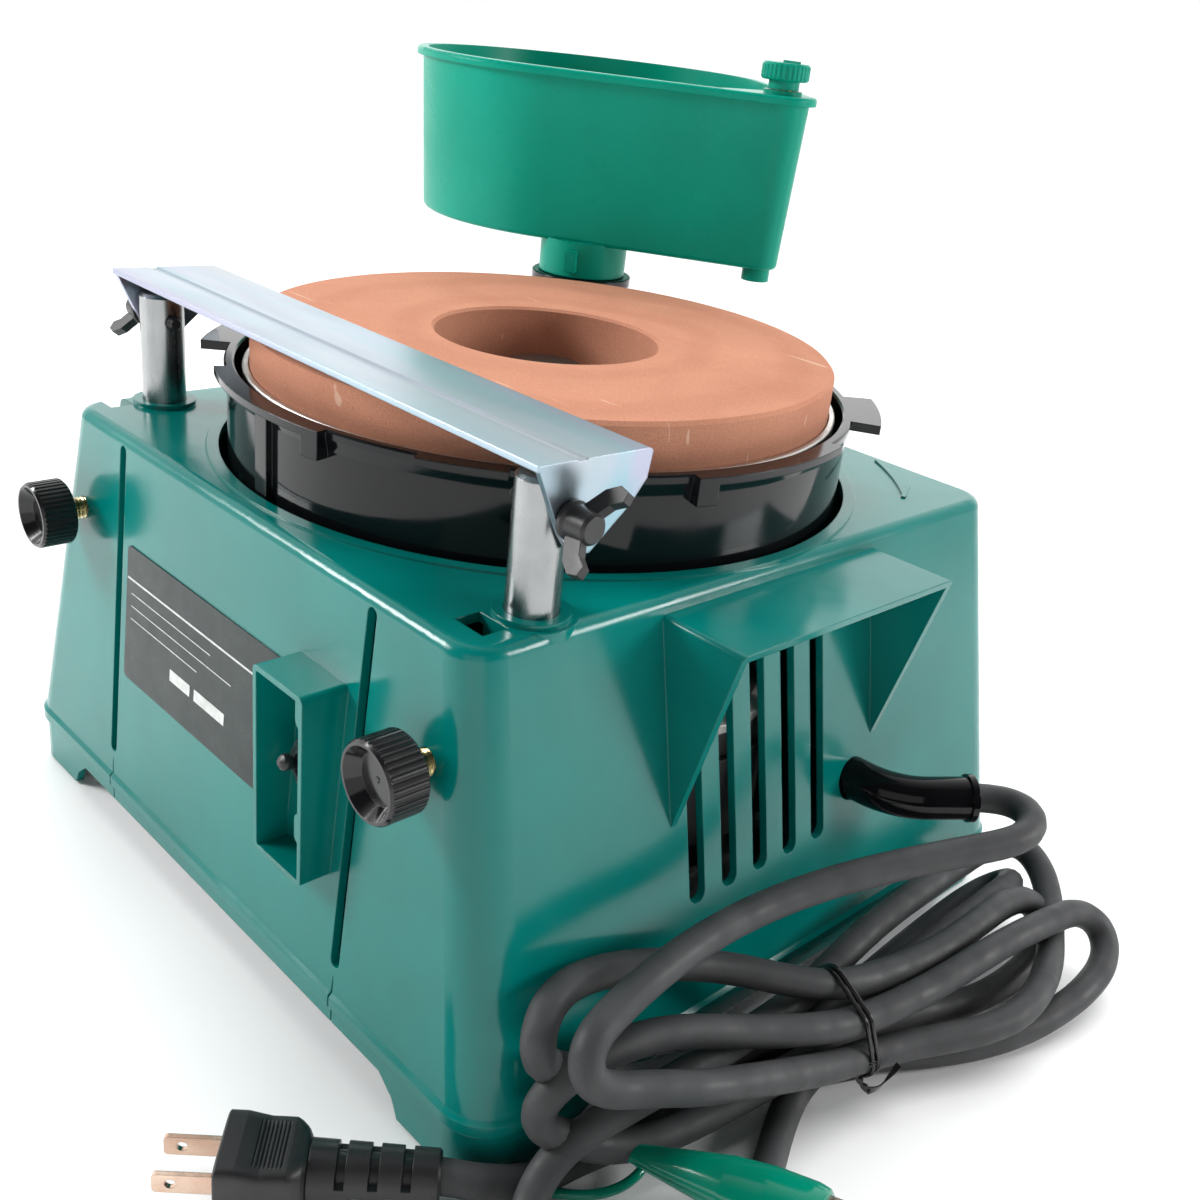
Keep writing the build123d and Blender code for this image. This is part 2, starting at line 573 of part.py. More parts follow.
for name, side in (("wing_bolt_right", 1), ("wing_bolt_left", -1)):
    with BuildPart() as wing_bolt:
        start, head = post_x - post_r - 3, plate_half + gap
        bolt_plane = lying(0, post_y, pivot_z, (side, 0, 0))
        turned([(0, start), (1.8, start)] + thread_outline(2.0, pivot_r, start + 0.6, 0.8, 3)
               + [(pivot_r, start + 3.4), (pivot_r, head), (5.4, head), (5.6, head + 1.4),
                  (4.9, head + 2.2), (4.4, head + 8.2), (3.6, head + 9), (0, head + 9)], plane=bolt_plane)
        wing_plane = Plane(origin=(side * (head + 4.4), post_y, pivot_z), x_dir=(side, 0, 0),
                           z_dir=(0, -sin(radians(52)), cos(radians(52))))
        with BuildSketch(wing_plane.offset(-1.5)):
            with BuildLine():
                Polyline((-2.2, 0), (-1.8, 5), (1.6, 10.6), (5.4, 13.2), (8.6, 12.4), (8.9, 9.6),
                         (5.6, 7.4), (3.6, 4.0), (3.2, 0), (3.6, -4.0), (5.6, -7.4), (8.9, -9.6),
                         (8.6, -12.4), (5.4, -13.2), (1.6, -10.6), (-1.8, -5), close=True)
            make_face()
        extrude(amount=3.0)
    save(wing_bolt, name)

# ---------------------------------------------------------------- clamp knobs
knob_face, knob_rear = 145.5, 131.6          # how far in front of the axis of the stone
knob_floor = knob_face - 4.0                 # bottom of the recess in the knob's face
knob_bore = knob_face - 7.0
for name, side in (("right", 1), ("left", -1)):
    with BuildPart() as clamp_knob:
        knob_plane = lying(side * post_x, 0, knob_z, (0, -1, 0))
        turned([(stud_r, knob_rear), (7.5, knob_rear), (8.5, knob_rear + 1), (11.2, knob_rear + 1.4),
                (12, knob_rear + 2.2), (12, knob_face - 1.0), (11.2, knob_face), (10.4, knob_face),
                (7.6, knob_floor), (1.0, knob_floor), (0.6, knob_floor + 0.3), (0, knob_floor + 0.3),
                (0, knob_bore), (stud_r, knob_bore)], plane=knob_plane)
        with BuildSketch(Plane.XZ.offset(knob_rear + 1.0)):
            with Locations((side * post_x, knob_z)):
                with PolarLocations(12.2, 40):
                    Circle(0.6)
        extrude(amount=knob_face - knob_rear - 1.8, mode=Mode.SUBTRACT)
    save(clamp_knob, f"clamp_knob_{name}")
    with BuildPart() as clamp_stud:
        stud_end = -post_y + post_r + gap
        turned([(0, stud_end), (stud_r - 1, stud_end), (stud_r, stud_end + 1), (stud_r, 124.4)]
               + thread_outline(stud_r - 0.6, stud_r, 124.6, 1.25, 5)
               + [(stud_r, knob_bore), (0, knob_bore)], plane=knob_plane)
    save(clamp_stud, f"clamp_stud_{name}")

# ---------------------------------------------------------------- water tank
collar_low, spigot_r = 196.8, 15.0
pillar_top = tank_floor_z - 2
pillar_foot = casing_top + 1.5
with BuildPart() as tank_pillar:
    turned([(3, pillar_foot), (19.5, pillar_foot), (19.5, 192), (22.5, 192.6), (22.5, 196.2), (22, 196.5),
            (spigot_r, 196.5), (spigot_r, pillar_top - 1), (spigot_r - 1, pillar_top), (11, pillar_top),
            (11, 176), (3, 176)], plane=upright(pillar_x, pillar_y))
save(tank_pillar, "tank_pillar")

with BuildPart() as pillar_screw:
    turned([(0, 145), (6, 145), (6, 150), (3, 150), (3, 178), (6, 178), (6, 183), (0, 183)],
           plane=upright(pillar_x, pillar_y))
save(pillar_screw, "pillar_screw")

with BuildPart() as tank:
    for inset, mode in ((0.0, Mode.ADD), (tank_wall, Mode.SUBTRACT)):
        swell = tank_draft * inset / (tank_rim_z - tank_floor_z)
        with BuildSketch(Plane.XY.offset(tank_floor_z + inset)):
            add(drop_outline(body_r + swell - inset, tip_r + swell - inset))
        with BuildSketch(Plane.XY.offset(tank_rim_z)):
            add(drop_outline(body_r + tank_draft - inset, tip_r + tank_draft - inset))
        loft(ruled=True, mode=mode)
    fillet(tank.edges().filter_by(GeomType.LINE, reverse=True).group_by(Axis.Z)[0], 2.0)
    # Rolled lip round the rim.
    with BuildSketch(Plane.XY.offset(tank_rim_z - 3.4)):
        add(drop_outline(body_r + tank_draft + 2.6, tip_r + tank_draft + 2.6))
        add(drop_outline(body_r + tank_draft - 1.2, tip_r + tank_draft - 1.2), mode=Mode.SUBTRACT)
    extrude(amount=3.4)
    fillet(tank.faces().filter_by(Plane.XY).sort_by(Axis.Z)[-1].outer_wire().edges(), 1.4)
    # Collar that turns on the pillar, with its stop lug, and the drip spout under the tip.
    turned([(spigot_r + running, collar_low), (19.5, collar_low), (19.5, tank_floor_z + 1),
            (spigot_r + running, tank_floor_z + 1)], plane=upright(pillar_x, pillar_y))
    with Locations((pillar_x + 11, pillar_y - 17.5, 204)):
        Box(5, 5, 9, rotation=(0, 0, -57))
    spout_low, seat_low = tank_floor_z - 5.4, tank_floor_z + 3.0
    column(tip_x, tip_y, spout_low, tank_floor_z + 1, 6.0)
    column(tip_x, tip_y, tank_floor_z + 1.4, tank_floor_z + 6.4, 6.6)
    column(tip_x, tip_y, spout_low - 0.6, seat_low, 1.5, Mode.SUBTRACT)
    column(tip_x, tip_y, seat_low, seat_low + 4, 2.9, Mode.SUBTRACT)
    # Bridge across the tip that guides the valve's stem.
    with BuildSketch(Plane.XY.offset(276)):
        with BuildSketch(mode=Mode.PRIVATE) as inside:
            add(drop_outline(body_r + tank_draft - 1.4, tip_r + tank_draft - 1.4))
        with Locations((tip_x, tip_y)):
            Rectangle(34, 40)
        add(inside.sketch, mode=Mode.INTERSECT)
    extrude(amount=6)
    column(tip_x, tip_y, 281, 283.6, 8.0)
    column(tip_x, tip_y, 270, 288, 4.0 + running, Mode.SUBTRACT)
    column(pillar_x, pillar_y, collar_low - 1, pillar_top + 1, spigot_r + running, Mode.SUBTRACT)
save(tank, "tank")

with BuildPart() as valve_knob:
    turned([(4, 283.9), (6.4, 283.9), (6.4, 287.4), (9.2, 287.4), (10, 288.2), (10, 293.2), (9.2, 294.2),
            (3.4, 294.2), (3.0, 293.6), (0, 293.6), (0, 290.5), (4, 290.5)], plane=upright(tip_x, tip_y))
    with Locations((tip_x + 2.5, tip_y, 294)):
        Box(8, 1.6, 2.4)
    with BuildSketch(Plane.XY.offset(287)):
        with Locations((tip_x, tip_y)):
            with PolarLocations(10.3, 30):
                Circle(0.6)
    extrude(amount=12, mode=Mode.SUBTRACT)
save(valve_knob, "valve_knob")

with BuildPart() as valve_needle:
    turned([(0, 214.4), (0.6, 214.4), (2.5, 217.5), (2.5, 270), (4, 271.5), (4, 290.5), (0, 290.5)],
           plane=upright(tip_x, tip_y))
save(valve_needle, "valve_needle")

# ---------------------------------------------------------------- switch
switch_y = -130.6
with BuildPart() as switch_body:
    with BuildSketch(Plane.XZ.offset(92)):
        with Locations((guard_x, guard_z)):
            RectangleRounded(17, 30, 1.5)
    extrude(amount=28)
    with BuildSketch(Plane.XZ.offset(118)):
        with Locations((guard_x, guard_z)):
            Circle(6.0)
    extrude(amount=14.6)
    with BuildSketch(Plane.XZ.offset(126.6)):
        with Locations((guard_x, guard_z)):
            Circle(4.6)
    extrude(amount=8, mode=Mode.SUBTRACT)
    with BuildSketch(Plane.YZ.offset(guard_x - 10)):
        with Locations((switch_y, guard_z)):
            Circle(0.9)
    extrude(amount=20, mode=Mode.SUBTRACT)
    for z in (-9, 0, 9):
        with Locations((guard_x, -89, guard_z + z)):
            Box(6, 8, 0.8)
save(switch_body, "switch_body")

with BuildPart() as switch_nut:
    front = -front_y(guard_z)
    with BuildSketch(Plane.XZ.offset(front + 0.9)):
        with Locations((guard_x, guard_z)):
            RegularPolygon(9.0, 6)
            Circle(6.0, mode=Mode.SUBTRACT)
    extrude(amount=2.4)
save(switch_nut, "switch_nut")

with BuildPart() as toggle_lever:
    tilt = radians(29)
    ahead = (0, -cos(tilt), sin(tilt))
    lever_plane = Plane(origin=(guard_x, switch_y, guard_z), x_dir=(1, 0, 0),
                        z_dir=Vector(1, 0, 0).cross(Vector(*ahead)))
    turned([(0, -2.2), (1.5, -1.6), (2.2, 0), (1.7, 1.4), (1.4, 3), (2.0, 6.5), (2.6, 8), (2.6, 9),
            (1.8, 10.2), (0, 10.6)], plane=lever_plane)
    with BuildSketch(Plane.YZ.offset(guard_x - 5.6)):
        with Locations((switch_y, guard_z)):
            Circle(0.85)
    extrude(amount=11.2)
save(toggle_lever, "toggle_lever")

# ---------------------------------------------------------------- nameplate
lean = (base_half_y - top_half_y) / (casing_top - bead_z)
plate_mid_x, plate_mid_z = -14.8, 94.2
with BuildPart() as nameplate:
    face_plane = Plane(origin=(plate_mid_x, front_y(plate_mid_z), plate_mid_z), x_dir=(1, 0, 0),
                       z_dir=(0, -1, lean))
    with BuildSketch(face_plane):
        RectangleRounded(106.8, 50.8, 2)
    extrude(amount=0.5)
save(nameplate, "nameplate")

# ---------------------------------------------------------------- mains lead
def run_length(a, b):
    """Distance between two points of a route."""
    return (Vector(*b) - Vector(*a)).length


def corner_radii(route):
    """The radius of each corner: 0.45 of its shorter run over the tangent of half its turn."""
    radii = []
    for a, b, c in zip(route, route[1:], route[2:]):
        turn = (Vector(*b) - Vector(*a)).get_angle(Vector(*c) - Vector(*b))
        radii.append(0.45 * min(run_length(a, b), run_length(b, c)) / tan(radians(turn / 2)))
    return radii


def make_cord(name, route, radius):
    """Sweeps a round section along straight runs joined by tangent arcs."""
    radii = corner_radii(route)
    with BuildPart() as cord:
        with BuildLine() as path:
            FilletPolyline(*route, radius=radii)
        with BuildSketch(Plane(origin=path.line @ 0, z_dir=path.line % 0)):
            Circle(radius)
        sweep()
    length = sum(edge.length for edge in path.edges())
    print(name, "radii", [round(r) for r in radii], "length", round(length),
          "volume ratio", round(cord.part.volume / (pi * radius ** 2 * length), 3))
    save(cord, name)


# Soft sleeve that guides the lead out of the wall; its mouth is wider than the lead.
sleeve_r, sleeve_mouth = 7.4, 12.0
sleeve_route = [(127, 37, 73.5), (152.5, 40.5, 72.8), (169.3, 61.8, 74.1)]
mouth_aim = (Vector(*sleeve_route[2]) - Vector(*sleeve_route[1])).normalized()
cord_start = Vector(*sleeve_route[2]) - mouth_aim * sleeve_mouth
with BuildPart() as cord_sleeve:
    with BuildLine() as sleeve_path:
        FilletPolyline(*sleeve_route, radius=corner_radii(sleeve_route))
    with BuildSketch(Plane(origin=sleeve_path.line @ 0, z_dir=sleeve_path.line % 0)):
        Circle(sleeve_r)
    sweep()
    with BuildSketch(Plane(origin=sleeve_route[2], z_dir=mouth_aim)):
        Circle(sleeve_r + 0.9)
        Circle(sleeve_r - 1, mode=Mode.SUBTRACT)
    extrude(amount=-2.2)
    with BuildSketch(Plane(origin=cord_start, z_dir=mouth_aim)):
        Circle(cord_r + 1.2)
    extrude(amount=sleeve_mouth + 2, mode=Mode.SUBTRACT)
save(cord_sleeve, "cord_sleeve")

# From the sleeve the lead turns back on itself and hangs across to the near end of the hank.
lead_route = [tuple(cord_start), (167.2, 59.3, 74.2), (172.8, 66, 74.4), (179.2, 69.8, 75),
              (186.4, 69, 75.5), (191.6, 63.8, 75.3), (193.4, 56, 74.7), (191.5, 47.5, 74), (187, 37, 73.3),
              (180.5, 22.5, 72.2), (173.5, 6, 71), (167, -12, 69.6), (162.5, -30, 68.5), (160.3, -48, 68)]
make_cord("cord_lead", lead_route, cord_r)

# A loose loop that leaves the hank's near end and comes back under its waist.
loop_route = [(164.5, -105, 25.3), (162.3, -114.5, 21), (161.8, -122.5, 14.5), (165.5, -130.5, 8.3),
              (174, -138.5, 5.4), (186, -143, 5.2), (198, -142, 5.2), (208, -135, 5.2), (213.7, -124, 5.2),
              (214.2, -109.5, 5.2), (209.5, -93.5, 5.2), (203, -77.5, 5.2), (195.5, -62.5, 5.2),
              (187, -47, 5.2), (180.5, -32, 5.2)]
make_cord("cord_loop", loop_route, cord_r)

# The tail from the hank's near end to the plug.
plug_end = Vector(142, -141, 10.4)
plug_aim = Vector(-0.661, -0.750, 0).normalized()
tail_route = [(157.5, -104, 5.2), (156.6, -115.5, 5.6), (154.2, -126, 7.6), (149, -134.5, 9.8),
              tuple(plug_end)]
make_cord("cord_tail", tail_route, cord_r)

# The hank's outer shape: a slab pinched where it is tied, with the near lobe leaning on the wall.
hank_low, hank_high, lobe_high = 1.6, 37.0, 73.0
tie_x, tie_wide = 177.9, 37.6
with BuildPart() as cord_hank:
    with BuildSketch(Plane.XY.offset(hank_low)):
        with BuildLine():
            Polyline((150.5, -60), (150.5, -112), (155, -124), (164, -128), (173, -124), (180, -105),
                     (184, -75), (190, -45), (195, -24), (195.5, -12), (206, 10), (222, 45), (222, 95),
                     (214, 112), (200, 119), (168, 125), (158, 116), (155.5, 95), (155.5, 40), (161, -10),
                     (160, -24), (155, -45), close=True)
        make_face()
    extrude(amount=hank_high - hank_low)
    with BuildSketch(Plane.XY.offset(hank_high - 1)):
        with BuildLine():
            Polyline((147, -48), (147, -108), (150, -119), (158, -124), (170, -122), (178, -108), (181, -85),
                     (178, -58), (170, -41), (155, -41), close=True)
        make_face()
    extrude(amount=lobe_high - hank_high + 1)
save(cord_hank, "cord_hank")

with BuildPart() as hank_tie:
    with BuildSketch(Plane.XZ.offset(16.5)):
        with Locations((tie_x, (hank_low + hank_high) / 2)):
            RectangleRounded(tie_wide, hank_high - hank_low + 2.6, 1.5)
            RectangleRounded(tie_wide - 1.4, hank_high - hank_low + 0.6, 0.7, mode=Mode.SUBTRACT)
    extrude(amount=3)
save(hank_tie, "hank_tie")

# Plug, laid on its side: relief, body and two flat blades along one line.
relief_long, body_long, blade_long, blade_thick = 36.0, 24.0, 17.0, 1.5
shoulder_long, body_wide, body_high = 7.0, 24.0, 20.0
plug_side = Vector(0, 0, 1).cross(plug_aim)
relief_plane = Plane(origin=plug_end, x_dir=plug_side, z_dir=plug_side.cross(plug_aim))
with BuildPart() as plug_relief:
    turned([(0, 0), (6.6, 0), (7.2, 0.8), (9.0, relief_long), (0, relief_long)], plane=relief_plane)
    for start in (6, 15, 24):
        with BuildSketch(Plane(origin=plug_end + plug_aim * start, x_dir=plug_side, z_dir=plug_aim)):
            for turn in (-1, 1):
                with Locations((0, turn * 8.5)):
                    Rectangle(20, 6)
        extrude(amount=3.2, mode=Mode.SUBTRACT)
save(plug_relief, "plug_relief")

body_start = plug_end + plug_aim * relief_long
body_end = body_start + plug_aim * body_long
with BuildPart() as plug_body:
    with BuildSketch(Plane(origin=body_start, x_dir=plug_side, z_dir=plug_aim)):
        RectangleRounded(19, 17, 4)
    shoulder_plane = Plane(origin=body_start + plug_aim * shoulder_long, x_dir=plug_side, z_dir=plug_aim)
    with BuildSketch(shoulder_plane):
        RectangleRounded(body_wide, body_high, 3)
    loft()
    with BuildSketch(shoulder_plane):
        RectangleRounded(body_wide, body_high, 3)
    extrude(amount=body_long - shoulder_long)
save(plug_body, "plug_body")

with BuildPart() as plug_blades:
    for side in (-6.35, 6.35):
        blade_origin = body_end + plug_side * (side - blade_thick / 2)
        with BuildSketch(Plane(origin=blade_origin, x_dir=plug_aim, z_dir=plug_side)):
            with Locations((blade_long / 2, 0)):
                RectangleRounded(blade_long, 6.4, 1.2)
            with Locations((blade_long - 5, 0)):
                Circle(1.6, mode=Mode.SUBTRACT)
        extrude(amount=blade_thick)
save(plug_blades, "plug_blades")

# Separate earth wire from the plug, curling round the hank's near end to a booted spring clip.
clip_start = Vector(168.8, -95.8, 13.0)
clip_aim = Vector(0.930, 0.310, 0.190).normalized()
clip_side = clip_aim.cross(Vector(0, 0, 1)).normalized()
boot_long, jaw_wide = 60.0, 6.0
earth_route = [(143.2, -147.0, 5.4), (149, -143.5, 3.2), (152.5, -134, 2.0), (153.2, -124.5, 1.8),
               (157, -118, 2.2), (163, -113.6, 3), (168.5, -108.3, 3.4), (172.5, -99.8, 4),
               (172.4, -90.5, 5), (168.2, -84.2, 6.2), (160.2, -81.0, 7.6), (153.2, -82.8, 9),
               (151.2, -89.4, 10.4), (154.8, -95.6, 11.5), (161.5, -97.6, 12.0), tuple(clip_start)]
make_cord("earth_wire", earth_route, earth_r)

with BuildPart() as earth_clip:
    turned([(0, 0), (2.6, 0), (3.0, 1), (5.4, 16), (8.2, 32), (8.9, 44), (8.4, 56), (7.4, boot_long),
            (0, boot_long)], plane=Plane(origin=clip_start, x_dir=clip_side, z_dir=clip_side.cross(clip_aim)))
save(earth_clip, "earth_clip")

with BuildPart() as clip_jaws:
    jaw_origin = clip_start + clip_aim * boot_long - clip_side * jaw_wide / 2
    with BuildSketch(Plane(origin=jaw_origin, x_dir=clip_aim, z_dir=clip_side)):
        for turn in (-1, 1):
            with BuildLine():
                Polyline((0, turn * 0.8), (0, turn * 5), (14, turn * 4.2), (24, turn * 1.8), (24, turn * 0.4),
                         (20, turn * 0.4), (19, turn * 1.3), (17, turn * 0.4), (16, turn * 1.3),
                         (14, turn * 0.4), (13, turn * 1.3), close=True)
            make_face()
    extrude(amount=jaw_wide)
save(clip_jaws, "clip_jaws")
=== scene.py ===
"""Looks of the wet grinding sharpener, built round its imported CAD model. Metres, in the model's frame."""

import json
from math import cos, pi, radians, sin

import bpy
import bmesh
from mathutils import Matrix, Vector


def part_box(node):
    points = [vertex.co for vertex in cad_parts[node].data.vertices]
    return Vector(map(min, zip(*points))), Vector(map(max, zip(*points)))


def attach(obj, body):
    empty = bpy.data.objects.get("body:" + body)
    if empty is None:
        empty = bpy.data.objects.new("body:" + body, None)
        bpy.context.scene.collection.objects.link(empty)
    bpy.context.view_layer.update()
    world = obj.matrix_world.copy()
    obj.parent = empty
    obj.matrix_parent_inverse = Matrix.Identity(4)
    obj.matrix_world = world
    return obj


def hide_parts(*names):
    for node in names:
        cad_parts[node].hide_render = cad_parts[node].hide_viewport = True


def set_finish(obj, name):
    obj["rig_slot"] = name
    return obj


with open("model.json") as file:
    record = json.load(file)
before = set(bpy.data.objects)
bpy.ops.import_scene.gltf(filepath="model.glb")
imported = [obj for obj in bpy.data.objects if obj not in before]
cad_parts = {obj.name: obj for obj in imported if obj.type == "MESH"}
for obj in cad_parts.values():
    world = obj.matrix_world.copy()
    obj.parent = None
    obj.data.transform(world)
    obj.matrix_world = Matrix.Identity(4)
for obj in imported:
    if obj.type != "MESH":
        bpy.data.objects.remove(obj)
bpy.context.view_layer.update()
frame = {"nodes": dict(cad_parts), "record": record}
nodes = frame["nodes"]
slot_of = {part["node"]: part["material_slot"] for part in frame["record"]["subparts"]}
UP = Vector((0, 0, 1))
RANGE_SOCKETS = ("From Min", "From Max", "To Min", "To Max")
DIM_SIDE = (0.70, -0.66, 0.27)           # the studio is dark on this side
DIMMING = (-0.85, 0.42, 2.3, 0.05)       # sky strength against how far a direction leans that way


# ---------------------------------------------------------------- camera, light and floor
def make_camera():
    """Camera at the angle from which the machine is usually shown: from the front right, above, tilted."""
    place = Vector((0.3442, -0.3139, 0.3101))
    yaw, pitch, roll = radians(134.0), radians(24.4), radians(6.6)
    ahead = Vector((cos(yaw) * cos(pitch), sin(yaw) * cos(pitch), -sin(pitch)))
    level = Vector((sin(yaw), -cos(yaw), 0))
    upright = level.cross(ahead)
    right = level * cos(roll) + upright * sin(roll)
    above = upright * cos(roll) - level * sin(roll)
    camera = bpy.data.objects.new("camera", bpy.data.cameras.new("camera"))
    camera.data.lens = 39.53
    camera.data.sensor_width = 36.0
    camera.data.clip_start = 0.01
    turn = Matrix((right, above, -ahead)).transposed().to_4x4()
    camera.matrix_world = Matrix.Translation(place) @ turn
    bpy.context.collection.objects.link(camera)
    bpy.context.scene.camera = camera


def area_light(name, place, target, size, power, colour=(1, 1, 1)):
    """A soft square light that shines from one point towards another."""
    lamp = bpy.data.lights.new(name, "AREA")
    lamp.size, lamp.energy, lamp.color = size, power, colour
    lamp_object = bpy.data.objects.new(name, lamp)
    aim = (Vector(target) - Vector(place)).to_track_quat("-Z", "Y")
    lamp_object.matrix_world = Matrix.Translation(place) @ aim.to_matrix().to_4x4()
    bpy.context.collection.objects.link(lamp_object)


def make_studio():
    """Pale backdrop, a bright sky that is dim on the camera's side, soft lights and a pale floor."""
    world = bpy.data.worlds.new("studio")
    world.use_nodes = True
    tree = world.node_tree
    backdrop = tree.nodes["Background"]
    backdrop.inputs["Color"].default_value = (1.0, 1.0, 1.0, 1)
    backdrop.inputs["Strength"].default_value = 1.0
    sky = tree.nodes.new("ShaderNodeBackground")
    direction = tree.nodes.new("ShaderNodeTexCoord")
    facing = tree.nodes.new("ShaderNodeVectorMath")
    facing.operation = "DOT_PRODUCT"
    facing.inputs[1].default_value = DIM_SIDE
    dimming = tree.nodes.new("ShaderNodeMapRange")
    for socket, number in zip(RANGE_SOCKETS, DIMMING):
        dimming.inputs[socket].default_value = number
    tree.links.new(direction.outputs["Generated"], facing.inputs[0])
    tree.links.new(facing.outputs["Value"], dimming.inputs["Value"])
    tree.links.new(dimming.outputs["Result"], sky.inputs["Strength"])
    seen = tree.nodes.new("ShaderNodeLightPath")
    choice = tree.nodes.new("ShaderNodeMixShader")
    tree.links.new(seen.outputs["Is Camera Ray"], choice.inputs["Fac"])
    tree.links.new(sky.outputs["Background"], choice.inputs[1])
    tree.links.new(backdrop.outputs["Background"], choice.inputs[2])
    tree.links.new(choice.outputs["Shader"], tree.nodes["World Output"].inputs["Surface"])
    bpy.context.scene.world = world
    bpy.context.scene.view_settings.view_transform = "Standard"
    area_light("left", (-0.9, -0.9, 0.8), (0, 0, 0.1), 0.45, 16)
    area_light("right", (1.0, 0.75, 0.5), (0.1, 0, 0.1), 0.35, 7)
    area_light("fill", (0.95, -1.1, 0.45), (0, 0, 0.15), 1.2, 3.5)
    wide_sun = bpy.data.lights.new("high", "SUN")
    wide_sun.energy, wide_sun.angle = 2.2, radians(60)
    high = bpy.data.objects.new("high", wide_sun)
    high.matrix_world = Vector((-0.1, 0.35, 1.0)).to_track_quat("Z", "Y").to_matrix().to_4x4()
    high.visible_glossy = False
    bpy.context.collection.objects.link(high)

    bpy.ops.mesh.primitive_grid_add(x_subdivisions=2, y_subdivisions=2, size=40)
    floor = bpy.context.object
    floor.name = "floor"
    paint = Finish("floor_paint", (0.98, 0.98, 0.98), 0.7)
    paint.shade_between((0.96, 0.96, 0.965), (0.99, 0.99, 0.99), paint.noise(3, 3))
    floor.data.materials.append(paint.material)


# ---------------------------------------------------------------- materials
class Finish:
    """A material whose colour, roughness and relief come from noise in the piece's own coordinates."""

    def __init__(self, name, colour, roughness, **sockets):
        self.material = bpy.data.materials.new(name)
        self.material.use_nodes = True
        tree = self.material.node_tree
        self.nodes, self.links = tree.nodes, tree.links
        self.shader = self.nodes["Principled BSDF"]
        self.shader.inputs["Base Color"].default_value = (*colour, 1)
        self.shader.inputs["Roughness"].default_value = roughness
        for socket, value in sockets.items():
            self.shader.inputs[socket.replace("_", " ").title().replace("Ior", "IOR")].default_value = value
        self.place = self.nodes.new("ShaderNodeTexCoord").outputs["Object"]
        self.height = None

    def stretched(self, scale, turn=(0, 0, 0)):
        """The piece's coordinates, scaled differently along each axis."""
        mapping = self.nodes.new("ShaderNodeMapping")
        mapping.inputs["Scale"].default_value = scale
        mapping.inputs["Rotation"].default_value = turn
        self.links.new(self.place, mapping.inputs["Vector"])
        return mapping.outputs["Vector"]

    def noise(self, scale, detail=2, vector=None, distortion=0.0):
        """Cloudy noise; scale is in features per metre."""
        texture = self.nodes.new("ShaderNodeTexNoise")
        texture.inputs["Scale"].default_value = scale
        texture.inputs["Detail"].default_value = detail
        texture.inputs["Distortion"].default_value = distortion
        self.links.new(vector or self.place, texture.inputs["Vector"])
        return texture.outputs["Fac"]

    def rings(self, scale, distortion):
        """Rings round the upright axis, as turning and grinding leave them."""
        texture = self.nodes.new("ShaderNodeTexWave")
        texture.wave_type, texture.rings_direction = "RINGS", "Z"
        texture.inputs["Scale"].default_value = scale
        texture.inputs["Distortion"].default_value = distortion
        texture.inputs["Detail"].default_value = 3
        self.links.new(self.place, texture.inputs["Vector"])
        return texture.outputs["Fac"]

    def cells(self, scale, vector=None):
        """Distance to the nearest of many scattered points."""
        texture = self.nodes.new("ShaderNodeTexVoronoi")
        texture.inputs["Scale"].default_value = scale
        self.links.new(vector or self.place, texture.inputs["Vector"])
        return texture.outputs["Distance"]

    def remap(self, value, low, high, out_low=0.0, out_high=1.0):
        """Value taken from one range to another, and kept inside it."""
        node = self.nodes.new("ShaderNodeMapRange")
        for socket, number in zip(RANGE_SOCKETS, (low, high, out_low, out_high)):
            node.inputs[socket].default_value = number
        self.links.new(value, node.inputs["Value"])
        return node.outputs["Result"]

    def mix(self, below, above, amount):
        """Colour between two, each a socket or a fixed colour."""
        node = self.nodes.new("ShaderNodeMix")
        node.data_type = "RGBA"
        for index, colour in ((6, below), (7, above)):
            if isinstance(colour, tuple):
                node.inputs[index].default_value = (*colour, 1)
            else:
                self.links.new(colour, node.inputs[index])
        self.links.new(amount, node.inputs["Factor"])
        return node.outputs[2]

    def paint(self, colour):
        """Links a colour to the shader."""
        self.links.new(colour, self.shader.inputs["Base Color"])
        return colour

    def shade_between(self, below, above, amount, low=0.35, high=0.65):
        """Base colour that drifts between two."""
        return self.paint(self.mix(below, above, self.remap(amount, low, high)))

    def roughen(self, amount, rough_low, rough_high, low=0.35, high=0.65):
        """Roughness that drifts between two values."""
        self.links.new(self.remap(amount, low, high, rough_low, rough_high), self.shader.inputs["Roughness"])

    def relief(self, height, depth, strength=1.0):
        """Adds a layer of bump; depth is in metres."""
        bump = self.nodes.new("ShaderNodeBump")
        bump.inputs["Distance"].default_value = depth
        bump.inputs["Strength"].default_value = strength
        self.links.new(height, bump.inputs["Height"])
        if self.height:
            self.links.new(self.height, bump.inputs["Normal"])
        self.height = bump.outputs["Normal"]
        self.links.new(self.height, self.shader.inputs["Normal"])

    def soften_edges(self, radius):
        """Rounds sharp edges in the shading, so that they catch the light. It comes before any relief."""
        bevel = self.nodes.new("ShaderNodeBevel")
        bevel.samples = 4
        bevel.inputs["Radius"].default_value = radius
        self.height = bevel.outputs["Normal"]
        self.links.new(self.height, self.shader.inputs["Normal"])


def moulded(name, deep, pale, rough_low, rough_high, grain=0.00001, edge=0.0006, **sockets):
    """Moulded plastic: a slow drift of colour, uneven gloss, and a faint orange peel."""
    finish = Finish(name, deep, rough_low, **sockets)
    finish.soften_edges(edge)
    finish.shade_between(deep, pale, finish.noise(18, 4))
    finish.roughen(finish.noise(45, 5, distortion=0.6), rough_low, rough_high)
    finish.relief(finish.noise(1500, 2), grain)
    finish.relief(finish.noise(90, 2), grain * 4)
    return finish


